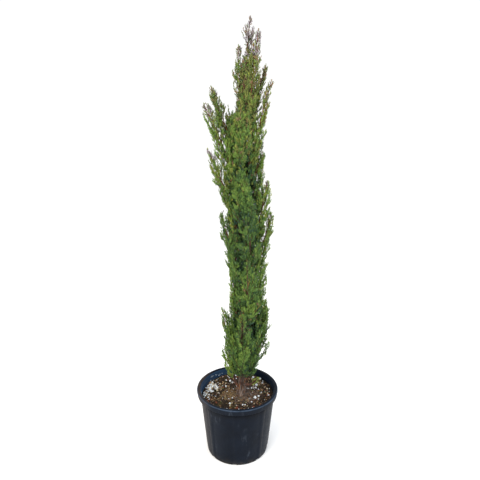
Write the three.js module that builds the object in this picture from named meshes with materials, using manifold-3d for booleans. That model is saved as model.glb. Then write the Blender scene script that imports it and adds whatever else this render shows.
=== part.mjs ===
import * as THREE from 'three';
import { mergeVertices } from 'three/addons/utils/BufferGeometryUtils.js';
import Module from 'manifold-3d';

const wasm = await Module();
wasm.setup();

// All sizes are in millimetres, heights of the tree are above the soil, angles are in degrees.
const GAP = 0.3;

// Nursery pot
const RIM_DIAMETER = 300;
const POT_HEIGHT = 253;
const BASE_DIAMETER = 228;
const NECK_DIAMETER = 273;
const BAND_HEIGHT = 22;
const BAND_DRAFT = 1.5;
const LIP_ROUNDING = 3;
const BASE_ROUNDING = 6;
const WALL = 2.5;
const FLOOR = 3;
const POT_SIDES = 40;
const DRAIN_COUNT = 8;
const DRAIN_WIDTH = 15;
const DRAIN_HEIGHT = 6;
const DRAIN_DEPTH = 14;

// Potting mix, a low mound with a level middle that the trunk stands on
const SOIL_BELOW_RIM = 32;
const SOIL_MOUND = 7;
const MOUND_FLAT_RADIUS = 50;
const MOUND_FOOT_RADIUS = 118;

// Trunk
const TREE_HEIGHT = 1269;
const TRUNK_FOOT_X = 15;
const TRUNK_FOOT_Y = -12;
const TRUNK_TOP = 1175;
const TRUNK_LEAN = 20;
const TRUNK_SWAY = 12;
const TRUNK_WAVE = 0.95;
const TRUNK_SWAY_DEEP = 9;
const TRUNK_WAVE_DEEP = 1.3;
const TRUNK_RADIUS = 10.5;
const TRUNK_TIP_RADIUS = 1.3;
const FLARE_RADIUS = 6;
const FLARE_HEIGHT = 22;
const FLARE_LOBES = 4;
const FLARE_LOBE_SHARE = 0.16;
const TRUNK_SIDES = 10;
const TRUNK_STEPS = 15;

// Outline of the crown
const CROWN_FOOT = 40;
const CROWN_FULL = 213;
const CROWN_TAPER = 823;
const CROWN_RADIUS = 70;
const CROWN_SWELL = 9;
const SWELL_HEIGHT = 239;
const SWELL_PITCH = 436;

// Plumes of the body, set round the trunk in a rising spiral
const BODY_PLUMES = 15;
const BODY_FIRST_FOOT = 42;
const BODY_LAST_FOOT = 1021;
const BODY_LONG = 273;
const BODY_SHORT = 213;
const BODY_WIDTH = 50;
const BODY_START_SIDE = 250;
const SPIRAL_STEP = 137.5;
const BODY_TWIST = 18;
const BODY_SHIFT = 66;
const LINE_POINTS = 40;
const BODY_BOW = 0.5;
const COLLAR_SHARE = 0.03;
const SEED = 41;

// Plumes that stand free of the body: side is measured from the right, towards the back
const FREE_CORE = 0.52;
const FREE_PLUMES = [
  { name: 'left_crest', side: 170, foot: 783, tip: 1081, reach: 104, bow: 1.45, width: 36, entry: 0.18 },
  { name: 'left_upper', side: 191, foot: 694, tip: 1027, reach: 122, bow: 1.65, width: 40, entry: 0.18 },
  { name: 'left_middle', side: 182, foot: 585, tip: 888, reach: 108, bow: 1.4, width: 38, entry: 0.18 },
  { name: 'left_sprig', side: 176, foot: 451, tip: 674, reach: 74, bow: 0.9, width: 38, entry: 0.2 },
  { name: 'left_waist', side: 190, foot: 260, tip: 550, reach: 54, bow: 0.6, width: 38, entry: 0 },
  { name: 'left_low', side: 178, foot: 129, tip: 335, reach: 84, bow: 0.8, width: 36, entry: 0.22 },
  { name: 'left_spire', side: 195, foot: 1023, tip: 1194, reach: 28, bow: 0.6, width: 22, entry: 0 },
  { name: 'right_spur', side: 20, foot: 917, tip: 1142, reach: 62, bow: 0.9, width: 24, entry: 0.2 },
  { name: 'right_upper', side: -10, foot: 783, tip: 1095, reach: 80, bow: 0.95, width: 36, entry: 0.18 },
  { name: 'right_shoulder', side: 14, foot: 659, tip: 914, reach: 58, bow: 0.5, width: 38, entry: 0 },
  { name: 'right_middle', side: -6, foot: 545, tip: 786, reach: 82, bow: 0.7, width: 38, entry: 0.18 },
  { name: 'right_swell', side: 6, foot: 416, tip: 676, reach: 90, bow: 0.8, width: 38, entry: 0.18 },
  { name: 'right_waist', side: -8, foot: 248, tip: 516, reach: 58, bow: 0.6, width: 38, entry: 0 },
  { name: 'right_low', side: 4, foot: 79, tip: 363, reach: 68, bow: 0.6, width: 42, entry: 0.18 },
  { name: 'right_foot', side: -20, foot: 56, tip: 208, reach: 46, bow: 0.6, width: 26, entry: 0 },
  { name: 'second_leader', side: -42, foot: 892, tip: 1235, reach: 36, bow: 0.6, width: 28, entry: 0.25 },
  { name: 'low_stem', side: 198, foot: 32, tip: 278, reach: 60, bow: 0.6, width: 42, entry: 0.18 },
  { name: 'back_low', side: 100, foot: 65, tip: 327, reach: 62, bow: 0.55, width: 42, entry: 0 },
  { name: 'soil_sprig', side: -32, foot: 44, tip: 83, reach: 62, bow: 0.6, width: 15, entry: 0.36, core: 0 },
];

// Twigs of one mass, each of which ends in a flat toothed spray
const TWIGS = 8;
const TWIG_FAN = 240;
const TWIG_ANGLE = 36;
const TWIG_EXTRA = 8;
const SPRAY_HALF_WIDTH = 0.18;
const SPRAY_THICKNESS = 0.1;
const SPRAY_MIDDLE = 0.58;
const SPRAY_SIDE = [[0.09, 0], [1, 0.55], [0.5, 0.6], [0.85, 0.77], [0.34, 0.79]];
const BODY_CORE = 0.56;
const LEADER_CORE = 0.4;
const LEADER_WIDTH = 26;
const STEM_RADIUS = 2.6;
const STEM_SHARE = 0.5;
const BOUGH_RADIUS = 4.6;
const BOUGH_SHARE = 0.6;
const TIP_RADIUS = 0.9;
const SPACE_MARGIN = 2.5;
const LIMB_MARGIN = 2.2;
const SOIL_MARGIN = 9;

const UP = new THREE.Vector3(0, 0, 1);
const TURN = Math.PI / 180;

const paint = (color, roughness) => new THREE.MeshStandardMaterial({ color, roughness });
const POT_PLASTIC = paint(0x22282f, 0.5);
const POTTING_MIX = paint(0x43362b, 1);
const BARK = paint(0x6b5446, 0.95);
const FOLIAGE = paint(0x55762f, 0.8);

// A repeatable run of even random numbers
function seeded(seed) {
  let state = seed >>> 0;
  return () => {
    state = (state + 0x6d2b79f5) >>> 0;
    let t = state;
    t = Math.imul(t ^ (t >>> 15), t | 1);
    t ^= t + Math.imul(t ^ (t >>> 7), t | 61);
    return ((t ^ (t >>> 14)) >>> 0) / 4294967296;
  };
}

function solidOf(geometry) {
  geometry.deleteAttribute('normal');
  geometry.deleteAttribute('uv');
  const g = mergeVertices(geometry, 1e-4);
  const index = g.index.array;
  const triangles = [];
  for (let i = 0; i < index.length; i += 3) {
    const [a, b, c] = [index[i], index[i + 1], index[i + 2]];
    if (a !== b && b !== c && c !== a) triangles.push(a, b, c);
  }
  return new wasm.Manifold(new wasm.Mesh({
    numProp: 3,
    vertProperties: new Float32Array(g.attributes.position.array),
    triVerts: new Uint32Array(triangles),
  }));
}

function meshOf(name, solid, material) {
  const made = solid.getMesh();
  const geometry = new THREE.BufferGeometry();
  geometry.setAttribute('position', new THREE.BufferAttribute(new Float32Array(made.vertProperties), 3));
  geometry.setIndex(new THREE.BufferAttribute(new Uint32Array(made.triVerts), 1));
  const mesh = new THREE.Mesh(geometry, material);
  mesh.name = name;
  return mesh;
}

// The largest body of a fused solid: loose scraps and sealed hollows are left behind
function whole(solid) {
  const bodies = solid.decompose();
  return bodies.reduce((best, body) => (body.volume() > best.volume() ? body : best));
}

function lathe(profile, sides) {
  const points = profile.map(([radius, height]) => new THREE.Vector2(radius, height));
  const geometry = new THREE.LatheGeometry(points, sides);
  geometry.rotateX(Math.PI / 2);
  return solidOf(geometry);
}

// Two axes square to a limb's direction, the first one as near as can be to the given side
function squareTo(tangent, side) {
  const across = side.clone().addScaledVector(tangent, -side.dot(tangent)).normalize();
  const through = new THREE.Vector3().crossVectors(across, tangent);
  return [across, through];
}

function steadySide(tangent) {
  const x = Math.abs(tangent.x);
  const y = Math.abs(tangent.y);
  return x < y ? new THREE.Vector3(1, 0, 0) : new THREE.Vector3(0, 1, 0);
}

// A round limb along a curve between two fractions of it, with its own radius at each ring
function limb(curve, from, to, radiusAt, sides, steps, drawIn = null) {
  const geometry = new THREE.CylinderGeometry(1, 1, 1, sides, steps);
  const position = geometry.attributes.position;
  const side = steadySide(curve.getTangent((from + to) / 2));
  for (let i = 0; i < position.count; i += 1) {
    const share = position.getY(i) + 0.5;
    const t = from + (to - from) * share;
    const centre = curve.getPoint(t);
    const [across, through] = squareTo(curve.getTangent(t), side);
    const [u, v] = [position.getX(i), position.getZ(i)];
    const radius = radiusAt(t, Math.atan2(v, u));
    const point = centre.clone().addScaledVector(across, u * radius).addScaledVector(through, v * radius);
    if (drawIn) drawIn(point, centre);
    position.setXYZ(i, point.x, point.y, point.z);
  }
  return solidOf(geometry);
}

// The pot, a thin turned shell with a folded rim band and drain notches at its foot
function innerRadius(height) {
  const slope = (NECK_DIAMETER - BASE_DIAMETER) / 2 / (POT_HEIGHT - BAND_HEIGHT);
  return BASE_DIAMETER / 2 + slope * height - WALL;
}

function buildPot() {
  const rim = RIM_DIAMETER / 2;
  const base = BASE_DIAMETER / 2;
  const band = POT_HEIGHT - BAND_HEIGHT;
  const profile = [
    [0, 0],
    [base - BASE_ROUNDING, 0],
    [base - BASE_ROUNDING * 0.25, BASE_ROUNDING * 0.3],
    [base + 0.6, BASE_ROUNDING],
    [NECK_DIAMETER / 2, band],
    [rim - BAND_DRAFT, band],
    [rim, POT_HEIGHT - LIP_ROUNDING],
    [rim - LIP_ROUNDING, POT_HEIGHT],
    [innerRadius(POT_HEIGHT) + LIP_ROUNDING, POT_HEIGHT],
    [innerRadius(POT_HEIGHT), POT_HEIGHT - LIP_ROUNDING],
    [innerRadius(FLOOR), FLOOR],
    [0, FLOOR],
  ];
  let pot = lathe(profile, POT_SIDES);
  for (let i = 0; i < DRAIN_COUNT; i += 1) {
    const notch = new THREE.BoxGeometry(DRAIN_WIDTH, DRAIN_DEPTH, DRAIN_HEIGHT * 2);
    notch.translate(0, -base, 0);
    notch.rotateZ((i / DRAIN_COUNT) * Math.PI * 2 - 5 * TURN);
    pot = pot.subtract(solidOf(notch));
  }
  return meshOf('pot', pot, POT_PLASTIC);
}

const SOIL_EDGE = POT_HEIGHT - SOIL_BELOW_RIM;
const SOIL_TOP = SOIL_EDGE + SOIL_MOUND;

function buildSoil() {
  const floor = FLOOR + GAP;
  const profile = [
    [0, floor],
    [innerRadius(floor) - GAP, floor],
    [innerRadius(SOIL_EDGE) - GAP, SOIL_EDGE],
    [MOUND_FOOT_RADIUS, SOIL_EDGE + 1.5],
    [MOUND_FLAT_RADIUS, SOIL_TOP],
    [0, SOIL_TOP],
  ];
  return meshOf('soil', lathe(profile, POT_SIDES), POTTING_MIX);
}

// The trunk line, straight up with a lean to the right and a slow sway
class TrunkLine extends THREE.Curve {
  getPoint(t) {
    const x = TRUNK_LEAN * t + TRUNK_SWAY * Math.sin((2 * Math.PI * t) / TRUNK_WAVE);
    const y = TRUNK_SWAY_DEEP * Math.sin((2 * Math.PI * t) / TRUNK_WAVE_DEEP);
    return new THREE.Vector3(x, y, TREE_HEIGHT * t);
  }
}

const TRUNK = new TrunkLine();

function trunkRadius(height) {
  const taper = Math.pow(Math.max(0, 1 - height / TREE_HEIGHT), 0.9);
  return TRUNK_TIP_RADIUS + TRUNK_RADIUS * taper + FLARE_RADIUS * Math.exp(-height / FLARE_HEIGHT);
}

// Rings of the trunk lie closer together towards the root flare
class TrunkRings extends THREE.Curve {
  getPoint(t) {
    return TRUNK.getPoint((TRUNK_TOP / TREE_HEIGHT) * Math.pow(t, 1.7));
  }
}

function trunkSolid(extra) {
  const rings = new TrunkRings();
  const radiusAt = (t, angle) => {
    const height = TRUNK_TOP * Math.pow(t, 1.7);
    const lobe = FLARE_LOBE_SHARE * Math.exp(-height / FLARE_HEIGHT) * Math.cos(FLARE_LOBES * angle + 1);
    return trunkRadius(height) * (1 + lobe) + extra;
  };
  const solid = limb(rings, 0, 1, radiusAt, TRUNK_SIDES, TRUNK_STEPS);
  const size = 200;
  const below = new THREE.BoxGeometry(size, size, size);
  below.translate(0, 0, -size / 2);
  return solid.subtract(solidOf(below));
}

function crownRadius(height) {
  const rise = Math.sqrt(THREE.MathUtils.clamp((height - CROWN_FOOT) / (CROWN_FULL - CROWN_FOOT), 0, 1));
  const above = THREE.MathUtils.clamp((height - CROWN_TAPER) / (TREE_HEIGHT - CROWN_TAPER), 0, 1);
  const swell = CROWN_SWELL * Math.cos((2 * Math.PI * (height - SWELL_HEIGHT)) / SWELL_PITCH);
  return (CROWN_RADIUS + swell) * rise * Math.pow(1 - above, 0.55);
}

function nearest(point, points) {
  let best = Infinity;
  for (const other of points) best = Math.min(best, point.distanceToSquared(other));
  return Math.sqrt(best);
}

// The line of one plume, out of the trunk by a short collar and then up beside it
class PlumeLine extends THREE.Curve {
  constructor(plume) {
    super();
    Object.assign(this, plume);
  }

  getPoint(s) {
    const height = this.foot + (this.tip - this.foot) * s;
    const leaving = this.collar * (1 - Math.exp(-s / COLLAR_SHARE));
    const out = leaving + (this.reach - this.collar) * Math.pow(s, this.bow);
    const angle = (this.side + this.twist * s) * TURN;
    const point = TRUNK.getPoint(height / TREE_HEIGHT);
    point.x += out * Math.cos(angle);
    point.y += out * Math.sin(angle);
    return point;
  }
}

function lineOf(plume) {
  const share = plume.entry > 0 ? BOUGH_SHARE : STEM_SHARE;
  plume.thick = Math.min(share * trunkRadius(plume.foot), plume.entry > 0 ? BOUGH_RADIUS : STEM_RADIUS);
  plume.collar = plume.reach > 0 ? trunkRadius(plume.foot) + plume.thick : 0;
  plume.line = new PlumeLine(plume);
  plume.points = plume.line.getPoints(LINE_POINTS);
  plume.length = plume.line.getLength();
  plume.first = plume.entry > 0 ? plume.entry + GAP / plume.length : 0;
  return plume;
}

// How near the line of a plume comes to those already set
function roomBeside(plume, others) {
  const upper = plume.points.slice(3);
  return Math.min(...others.map((other) => Math.min(...upper.map((point) => nearest(point, other.points)))));
}

function plumeList() {
  const random = seeded(SEED);
  const plumes = FREE_PLUMES.map((plume) => lineOf({ core: FREE_CORE, twist: 0, ...plume }));
  const leader = { name: 'leader', side: 0, twist: 0, foot: TRUNK_TOP + GAP, tip: TREE_HEIGHT, reach: 0 };
  plumes.push(lineOf({ ...leader, bow: 1, width: LEADER_WIDTH, entry: 0, core: LEADER_CORE }));
  for (let i = 0; i < BODY_PLUMES; i += 1) {
    const share = i / (BODY_PLUMES - 1);
    const foot = BODY_FIRST_FOOT + (BODY_LAST_FOOT - BODY_FIRST_FOOT) * share;
    const length = (BODY_LONG + (BODY_SHORT - BODY_LONG) * share) * (0.92 + 0.16 * random());
    const tip = Math.min(foot + length, TREE_HEIGHT - 40);
    const reach = crownRadius(tip) * (0.62 + 0.3 * random());
    const width = BODY_WIDTH * (1 - 0.35 * share);
    const name = `body_${String(i + 1).padStart(2, '0')}`;
    const twist = BODY_TWIST * (random() - 0.5) * 2;
    let best = null;
    for (let turn = -BODY_SHIFT; turn <= BODY_SHIFT; turn += BODY_SHIFT / 6) {
      const side = BODY_START_SIDE + SPIRAL_STEP * i + turn;
      const shape = { reach, bow: BODY_BOW, width, entry: 0, core: BODY_CORE };
      const plume = lineOf({ name, side, twist, foot, tip, ...shape });
      plume.room = roomBeside(plume, plumes) - Math.abs(turn) / 12;
      if (best === null || plume.room > best.room) best = plume;
    }
    plumes.push(best);
  }
  return plumes;
}

const PLUMES = plumeList();

function plumeWidth(plume, s) {
  return plume.width * Math.pow(Math.sin(Math.PI * Math.pow(s, 0.8)), 0.6);
}

function limbRadius(plume, s) {
  return plume.thick + (TIP_RADIUS - plume.thick) * Math.pow(s, 0.7);
}

// Points along each mass's stem and along each bough, for keeping every mass to its own space
const STEM_POINTS = PLUMES.map((plume) => {
  const count = Math.ceil((plume.length * (1 - plume.first)) / 5);
  const shareAt = (i) => plume.first + (1 - plume.first) * (i / count);
  return Array.from({ length: count + 1 }, (_, i) => plume.line.getPoint(shareAt(i)));
});
const BOUGH_POINTS = PLUMES.filter((plume) => plume.entry > 0).flatMap((plume) => {
  const count = Math.ceil((plume.length * plume.entry) / 3);
  return Array.from({ length: count + 1 }, (_, i) => {
    const s = plume.entry * (i / count);
    return { point: plume.line.getPoint(s), radius: limbRadius(plume, s) };
  });
});

function clearOfLimbs(point) {
  const trunk = TRUNK.getPoint(Math.min(point.z, TRUNK_TOP) / TREE_HEIGHT);
  const room = trunkRadius(Math.max(0, point.z)) + LIMB_MARGIN;
  const away = Math.hypot(point.x - trunk.x, point.y - trunk.y);
  if (point.z < TRUNK_TOP + LIMB_MARGIN && away < room) return false;
  if (point.z < SOIL_MARGIN) return false;
  return BOUGH_POINTS.every((bough) => point.distanceTo(bough.point) > bough.radius + LIMB_MARGIN);
}

function inSpace(point, own) {
  if (!clearOfLimbs(point)) return false;
  const mine = nearest(point, STEM_POINTS[own]);
  return STEM_POINTS.every((points, i) => i === own || nearest(point, points) > mine + SPACE_MARGIN);
}

// One twig with its spray: a flat blade with a narrow tail, toothed along both edges, ridged along its middle
function sprayPoints(root, along, side, length) {
  const [across, through] = squareTo(along, side);
  const half = length * SPRAY_HALF_WIDTH;
  const place = ([x, y]) => root.clone().addScaledVector(across, x * half).addScaledVector(along, y * length);
  const left = SPRAY_SIDE.map(([x, y]) => place([-x, y]));
  const right = SPRAY_SIDE.map(([x, y]) => place([x, y])).reverse();
  const middle = place([0, SPRAY_MIDDLE]);
  const ridge = (length * SPRAY_THICKNESS) / 2;
  return {
    edge: [...left, place([0, 1]), ...right],
    over: middle.clone().addScaledVector(through, -ridge),
    under: middle.clone().addScaledVector(through, ridge),
  };
}

function spraySolid(spray) {
  const sides = spray.edge.length;
  const geometry = new THREE.SphereGeometry(1, sides, 2);
  const position = geometry.attributes.position;
  for (let i = 0; i < position.count; i += 1) {
    const row = Math.floor(i / (sides + 1));
    const point = [spray.over, spray.edge[(i % (sides + 1)) % sides], spray.under][row];
    position.setXYZ(i, point.x, point.y, point.z);
  }
  return solidOf(geometry);
}

function sprayFits(spray, own) {
  const outer = spray.edge.slice(1, -1);
  return [spray.over, spray.under, ...outer].every((point) => inSpace(point, own));
}

// One mass: a stem, a slim core where it is dense, and twigs set round the stem in a spiral
function buildMass(plume, own, limbRooms) {
  const random = seeded(SEED + 101 * (own + 1));
  let solid = limb(plume.line, plume.first, 1, (s) => limbRadius(plume, s), 3, 5);
  const low = Math.max(plume.first + 0.03, 0.14);
  if (plume.core > 0) {
    const coreRadius = (s) => {
      const swell = Math.max(0, Math.sin(Math.PI * ((s - low) / (0.97 - low))));
      return 1.5 + plume.core * plumeWidth(plume, s) * Math.sqrt(swell);
    };
    const drawIn = (point, centre) => {
      for (let i = 0; i < 16 && !inSpace(point, own); i += 1) point.lerp(centre, 0.12);
    };
    solid = solid.add(limb(plume.line, low, 0.97, coreRadius, 6, 5, drawIn));
  }
  const addSpray = (root, along, side, length) => {
    for (const share of [1, 0.84, 0.7, 0.56]) {
      const spray = sprayPoints(root, along, side, length * share);
      if (sprayFits(spray, own)) {
        solid = solid.add(spraySolid(spray));
        return;
      }
    }
  };
  for (let i = 0; i < TWIGS; i += 1) {
    const s = low + (0.9 - low) * ((i + 0.5) / TWIGS);
    const tangent = plume.line.getTangent(s);
    const root = plume.line.getPoint(s);
    const outward = root.clone().sub(TRUNK.getPoint(root.z / TREE_HEIGHT)).setZ(0);
    const fan = plume.reach > 0 ? TWIG_FAN : 360;
    const turn = fan * TURN * (((i + random() * 0.4) * 0.618) % 1 - 0.5);
    const facing = plume.reach > 0 ? outward : steadySide(tangent);
    const out = squareTo(tangent, facing)[0].applyAxisAngle(tangent, turn);
    const angle = TWIG_ANGLE * TURN * (0.85 + 0.3 * random());
    const along = tangent.clone().multiplyScalar(Math.cos(angle)).addScaledVector(out, Math.sin(angle));
    along.addScaledVector(UP, 0.15).normalize();
    const length = TWIG_EXTRA + (plumeWidth(plume, s) * (0.95 + 0.35 * random())) / Math.sin(angle);
    const side = out.clone().applyAxisAngle(along, (0.32 + 0.36 * random()) * Math.PI);
    addSpray(root, along, side, length);
  }
  const tangent = plume.line.getTangent(1);
  addSpray(plume.line.getPoint(0.86), tangent, steadySide(tangent), plume.length * 0.14 + 10);
  for (const room of limbRooms) solid = solid.subtract(room);
  return meshOf(`foliage_${plume.name}`, whole(solid), FOLIAGE);
}

// A bough, grown by a margin where room is cut round it
function boughSolid(plume, extra) {
  return limb(plume.line, 0, plume.entry, (s) => limbRadius(plume, s) + extra, 5, 4);
}

const part = new THREE.Group();
part.name = 'potted_cypress';
const container = new THREE.Group();
container.name = 'container';
container.add(buildPot(), buildSoil());
const tree = new THREE.Group();
tree.name = 'tree';
tree.position.set(TRUNK_FOOT_X, TRUNK_FOOT_Y, SOIL_TOP + GAP);
tree.add(meshOf('trunk', trunkSolid(0), BARK));
const trunkRoom = trunkSolid(GAP);
const branching = PLUMES.filter((plume) => plume.entry > 0);
for (const plume of branching) {
  const bough = whole(boughSolid(plume, 0).subtract(trunkRoom));
  tree.add(meshOf(`bough_${plume.name}`, bough, BARK));
}
const limbRooms = [trunkRoom, ...branching.map((plume) => boughSolid(plume, GAP))];
PLUMES.forEach((plume, own) => tree.add(buildMass(plume, own, limbRooms)));
part.add(container, tree);

export default part;
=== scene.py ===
import itertools
import math
from collections import namedtuple

import bpy
import numpy as np
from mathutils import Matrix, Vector, noise


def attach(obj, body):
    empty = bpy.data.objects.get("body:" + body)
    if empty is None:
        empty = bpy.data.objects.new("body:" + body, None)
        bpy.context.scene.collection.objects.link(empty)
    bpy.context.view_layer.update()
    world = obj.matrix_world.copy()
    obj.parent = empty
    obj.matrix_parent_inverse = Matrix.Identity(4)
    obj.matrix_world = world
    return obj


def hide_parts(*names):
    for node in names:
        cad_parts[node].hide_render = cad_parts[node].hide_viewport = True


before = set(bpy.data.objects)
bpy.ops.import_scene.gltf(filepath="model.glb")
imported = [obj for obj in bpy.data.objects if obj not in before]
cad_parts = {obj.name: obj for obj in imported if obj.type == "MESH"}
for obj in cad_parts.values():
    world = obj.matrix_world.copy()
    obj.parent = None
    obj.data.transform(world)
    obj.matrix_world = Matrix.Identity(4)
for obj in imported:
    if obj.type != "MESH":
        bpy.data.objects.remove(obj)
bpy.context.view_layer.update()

# Sizes are in millimetres and angles in degrees unless a name says radians; MM turns a size into metres
MM = 0.001
GAP = 0.3

# The pot
RIM_RADIUS = 150.0
POT_HEIGHT = 253.0
BASE_RADIUS = 114.0
NECK_RADIUS = 136.5
BAND_FOOT = POT_HEIGHT - 22.0
FOOT_TOP = 16.0
WALL_MIDDLE = 120.0
INSIDE_TOP = 240.0
WALL = 2.5
FLOOR = 3.0
POT_SIDES = 240
POT_STEP = 9.0
CORNER_CUTS = 5
SHARP_ANGLE = 40.0
DRAINS = 8
DRAIN_TURN = 5.0
DRAIN_WIDTH = 15.0
DRAIN_HEIGHT = 6.0
DRAIN_DEPTH = 14.0
RIBS = 8
RIB_TURN = -137.0
RIB_HALF_ANGLE = 4.0
RIB_DEPTH = 1.9
RIB_LOW = 12.0
RIB_HIGH = BAND_FOOT - 6.0

# The potting mix: a mound, a slope, a heap of litter at the trunk and bumps
SOIL_EDGE = 221.0
SOIL_TOP = 228.0
SOIL_RINGS = 74
SOIL_SIDES = 220
SOIL_SKIRT = 6.0
SOIL_SETTLE = 0.8
MOUND_FLAT_RADIUS = 50.0
MOUND_FOOT_RADIUS = 118.0
MOUND_FOOT_RISE = 1.5
MIX_RADIUS = 132.0
MIX_RISE_BACK = 8.0
MIX_RISE_RIGHT = 4.0
MIX_RISE_RUN = 130.0
LITTER_HEIGHT = 6.0
LITTER_RADIUS = 30.0
LITTER_SHIFT = 8.0
BARE_RADIUS = 21.0
# Bumps: how many to a millimetre, their height and their layer of the noise
MIX_BUMPS = [(0.03, 2.4, 0.7), (0.12, 2.2, 3.1), (0.34, 1.6, 5.3)]

# What lies on the mix: count, inner and outer radius, then the spot that draws it and how widely
GRAIN_PLACES = [(170, 20, 125), (26, 70, 126, (-92, 40), 36), (16, 40, 124, (66, 24), 18)]
CRUMB_PLACES = [(120, 84, 128, (-98, 50), 19), (40, 98, 128, (-118, 6), 17)]
CHIP_PLACES = (620, 14, 127)
FALLEN_PLACES = (16, 40, 120)
CHIP_SIZES = [(1.5, 6.0), (0.7, 2.4), (0.4, 1.2)]
CHIP_TILT_RADIANS = 0.28
CHIP_CORNER_SHIFT = 0.35
CHIP_NARROW_ENDS = (0.3, 0.9)
CHIP_LIFT = 0.5
FALLEN_LENGTHS = (6.0, 12.0)
GRAIN_RADII = ([1.4, 2.1, 2.9, 3.9], [0.36, 0.34, 0.2, 0.1])
CRUMB_RADII = ([1.1, 1.8, 2.8], [0.4, 0.35, 0.25])
GRAIN_DENT = 0.3
GRAIN_DENT_MOST = 1.4
GRAIN_STRETCH = (0.6, 1.3)
GRAIN_LIFT_SHARE = 0.3
GRAIN_ODDS = [0.5, 0.34, 0.16]
CRUMB_ODDS = [0.76, 0.18, 0.06]
CHIP_ODDS = [0.54, 0.28, 0.07, 0.11]
# Fibres in a mound, in a mat and strewn: their places and the odds of brown, grey, rust and straw
FIBRE_LOTS = [
    ((560, 0, 90, (34, -20), 34), [0.32, 0.5, 0.18, 0.0]),
    ((260, 0, 100, (-30, -12), 26), [0.2, 0.14, 0.16, 0.5]),
    ((200, 10, 124), [0.46, 0.3, 0.12, 0.12]),
]
FIBRE_TAPER = np.array([0.3, 0.65, 0.75, 0.75, 0.6, 0.25])
FIBRE_LENGTHS = (6.0, 18.0)
FIBRE_BEND = 0.5
FIBRE_SLOPE = 0.14
FIBRE_LIFTS = (0.2, 1.0)
FIBRE_FACETS = 4
FIBRE_HEAP_RADIUS = 30.0
FIBRE_HEAP_HEIGHT = 7.0
STREAKS = 22
STREAK_POINTS = 22
STREAK_ANGLES = (112.0, 222.0)
STREAK_SPANS = (1.2, 4.2)
STREAK_RISES = (4.0, 19.0)
STREAK_SLANT = 1.2
STREAK_RADIUS = 0.6
STREAK_RADIUS_SPREAD = 0.5
STREAK_RADIUS_SHARES = (0.15, 1.7)
STREAK_WANDER = 0.4
STREAK_OFF_WALL = 0.2
STREAK_FACETS = 5

# Sizes of the trunk, with heights above the mix
FOOT = np.array([15.0, -12.0, SOIL_TOP + GAP])
TREE_HEIGHT = 1269.0
TRUNK_TOP = 1175.0
TRUNK_SUNK = 4.0
TRUNK_FINE_TOP = 240.0
TRUNK_FINE_STEP = 2.0
TRUNK_STEP = 4.0
TRUNK_SIDES = 40
TRUNK_LEAN = 20.0
TRUNK_SWAY = 12.0
TRUNK_WAVE = 0.95
TRUNK_SWAY_DEEP = 9.0
TRUNK_WAVE_DEEP = 1.3
TRUNK_RADIUS = 10.5
TRUNK_TIP_RADIUS = 1.3
TRUNK_TAPER_POWER = 0.9
FLARE_RADIUS = 6.0
FLARE_HEIGHT = 22.0
FLARE_LOBES = 4
FLARE_LOBE_SHARE = 0.16
TRUNK_POINT = 2.0
TRUNK_RELIEF = 0.35
TRUNK_RELIEF_PER_GIRTH = 0.085
BARK_SETTLE = 0.3
BARK_GIRTH = 6.0
# Layers of the bark's relief, broad strips and then fine threads: pitch round, pitch along, shift, share
BARK_LAYERS = [(0.16, 0.011, (0.0, 0.0), 0.62), (0.42, 0.03, (7.3, 1.1), 0.38)]
BARK_SHARPNESS = 2.2
STRINGS = 240
STRING_FEET = (-2.0, 80.0)
STRING_LENGTHS = (14.0, 46.0)
STRING_LIFTS = (0.4, 4.0)
STRING_TAPER = np.array([0.4, 0.8, 1.0, 1.1, 1.1, 0.9, 0.7, 0.3])
STRING_TWIST_RADIANS = 0.16
STRING_FACETS = 4
STRING_ODDS = [0.5, 0.38, 0.12]

# Outline of the crown
CROWN_FOOT = 40.0
CROWN_FULL = 213.0
CROWN_TAPER = 823.0
CROWN_TAPER_POWER = 0.55
CROWN_RADIUS = 70.0
CROWN_SWELL = 9.0
SWELL_HEIGHT = 239.0
SWELL_PITCH = 436.0

# Plumes of the body, in a rising spiral
BODY_PLUMES = 15
BODY_FIRST_FOOT = 42.0
BODY_LAST_FOOT = 1021.0
BODY_LONG = 273.0
BODY_SHORT = 213.0
BODY_LENGTH_LEAST = 0.92
BODY_LENGTH_RANGE = 0.16
BODY_REACH_LEAST = 0.62
BODY_REACH_RANGE = 0.3
BODY_WIDTH = 50.0
BODY_WIDTH_LOSS = 0.35
BODY_START_SIDE = 250.0
SPIRAL_STEP = 137.5
BODY_TWIST = 18.0
BODY_SHIFT = 66.0
BODY_TRIES = 6
BODY_TURN_COST = 12.0
BODY_TIP_GAP = 40.0
BODY_BOW = 0.5
COLLAR_SHARE = 0.03
LINE_POINTS = 40
COLLAR_POINTS = 3
TANGENT_STEP = 0.01
LENGTH_STEPS = 200
SEED = 41
TWIG_SEED = 77
STEM_RADIUS = 2.6
STEM_SHARE = 0.5
STEM_SIDES = 8
BOUGH_RADIUS = 4.6
BOUGH_SHARE = 0.6
BOUGH_RINGS = 30
BOUGH_SIDES = 18
BOUGH_OVERLAP = 0.01
BOUGH_GROWTH = 1.04
BOUGH_RELIEF = 0.4
BOUGH_RELIEF_STEP = 3.0
TIP_RADIUS = 0.9
STEM_TAPER_POWER = 0.7
LEADER_WIDTH = 26.0

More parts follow.
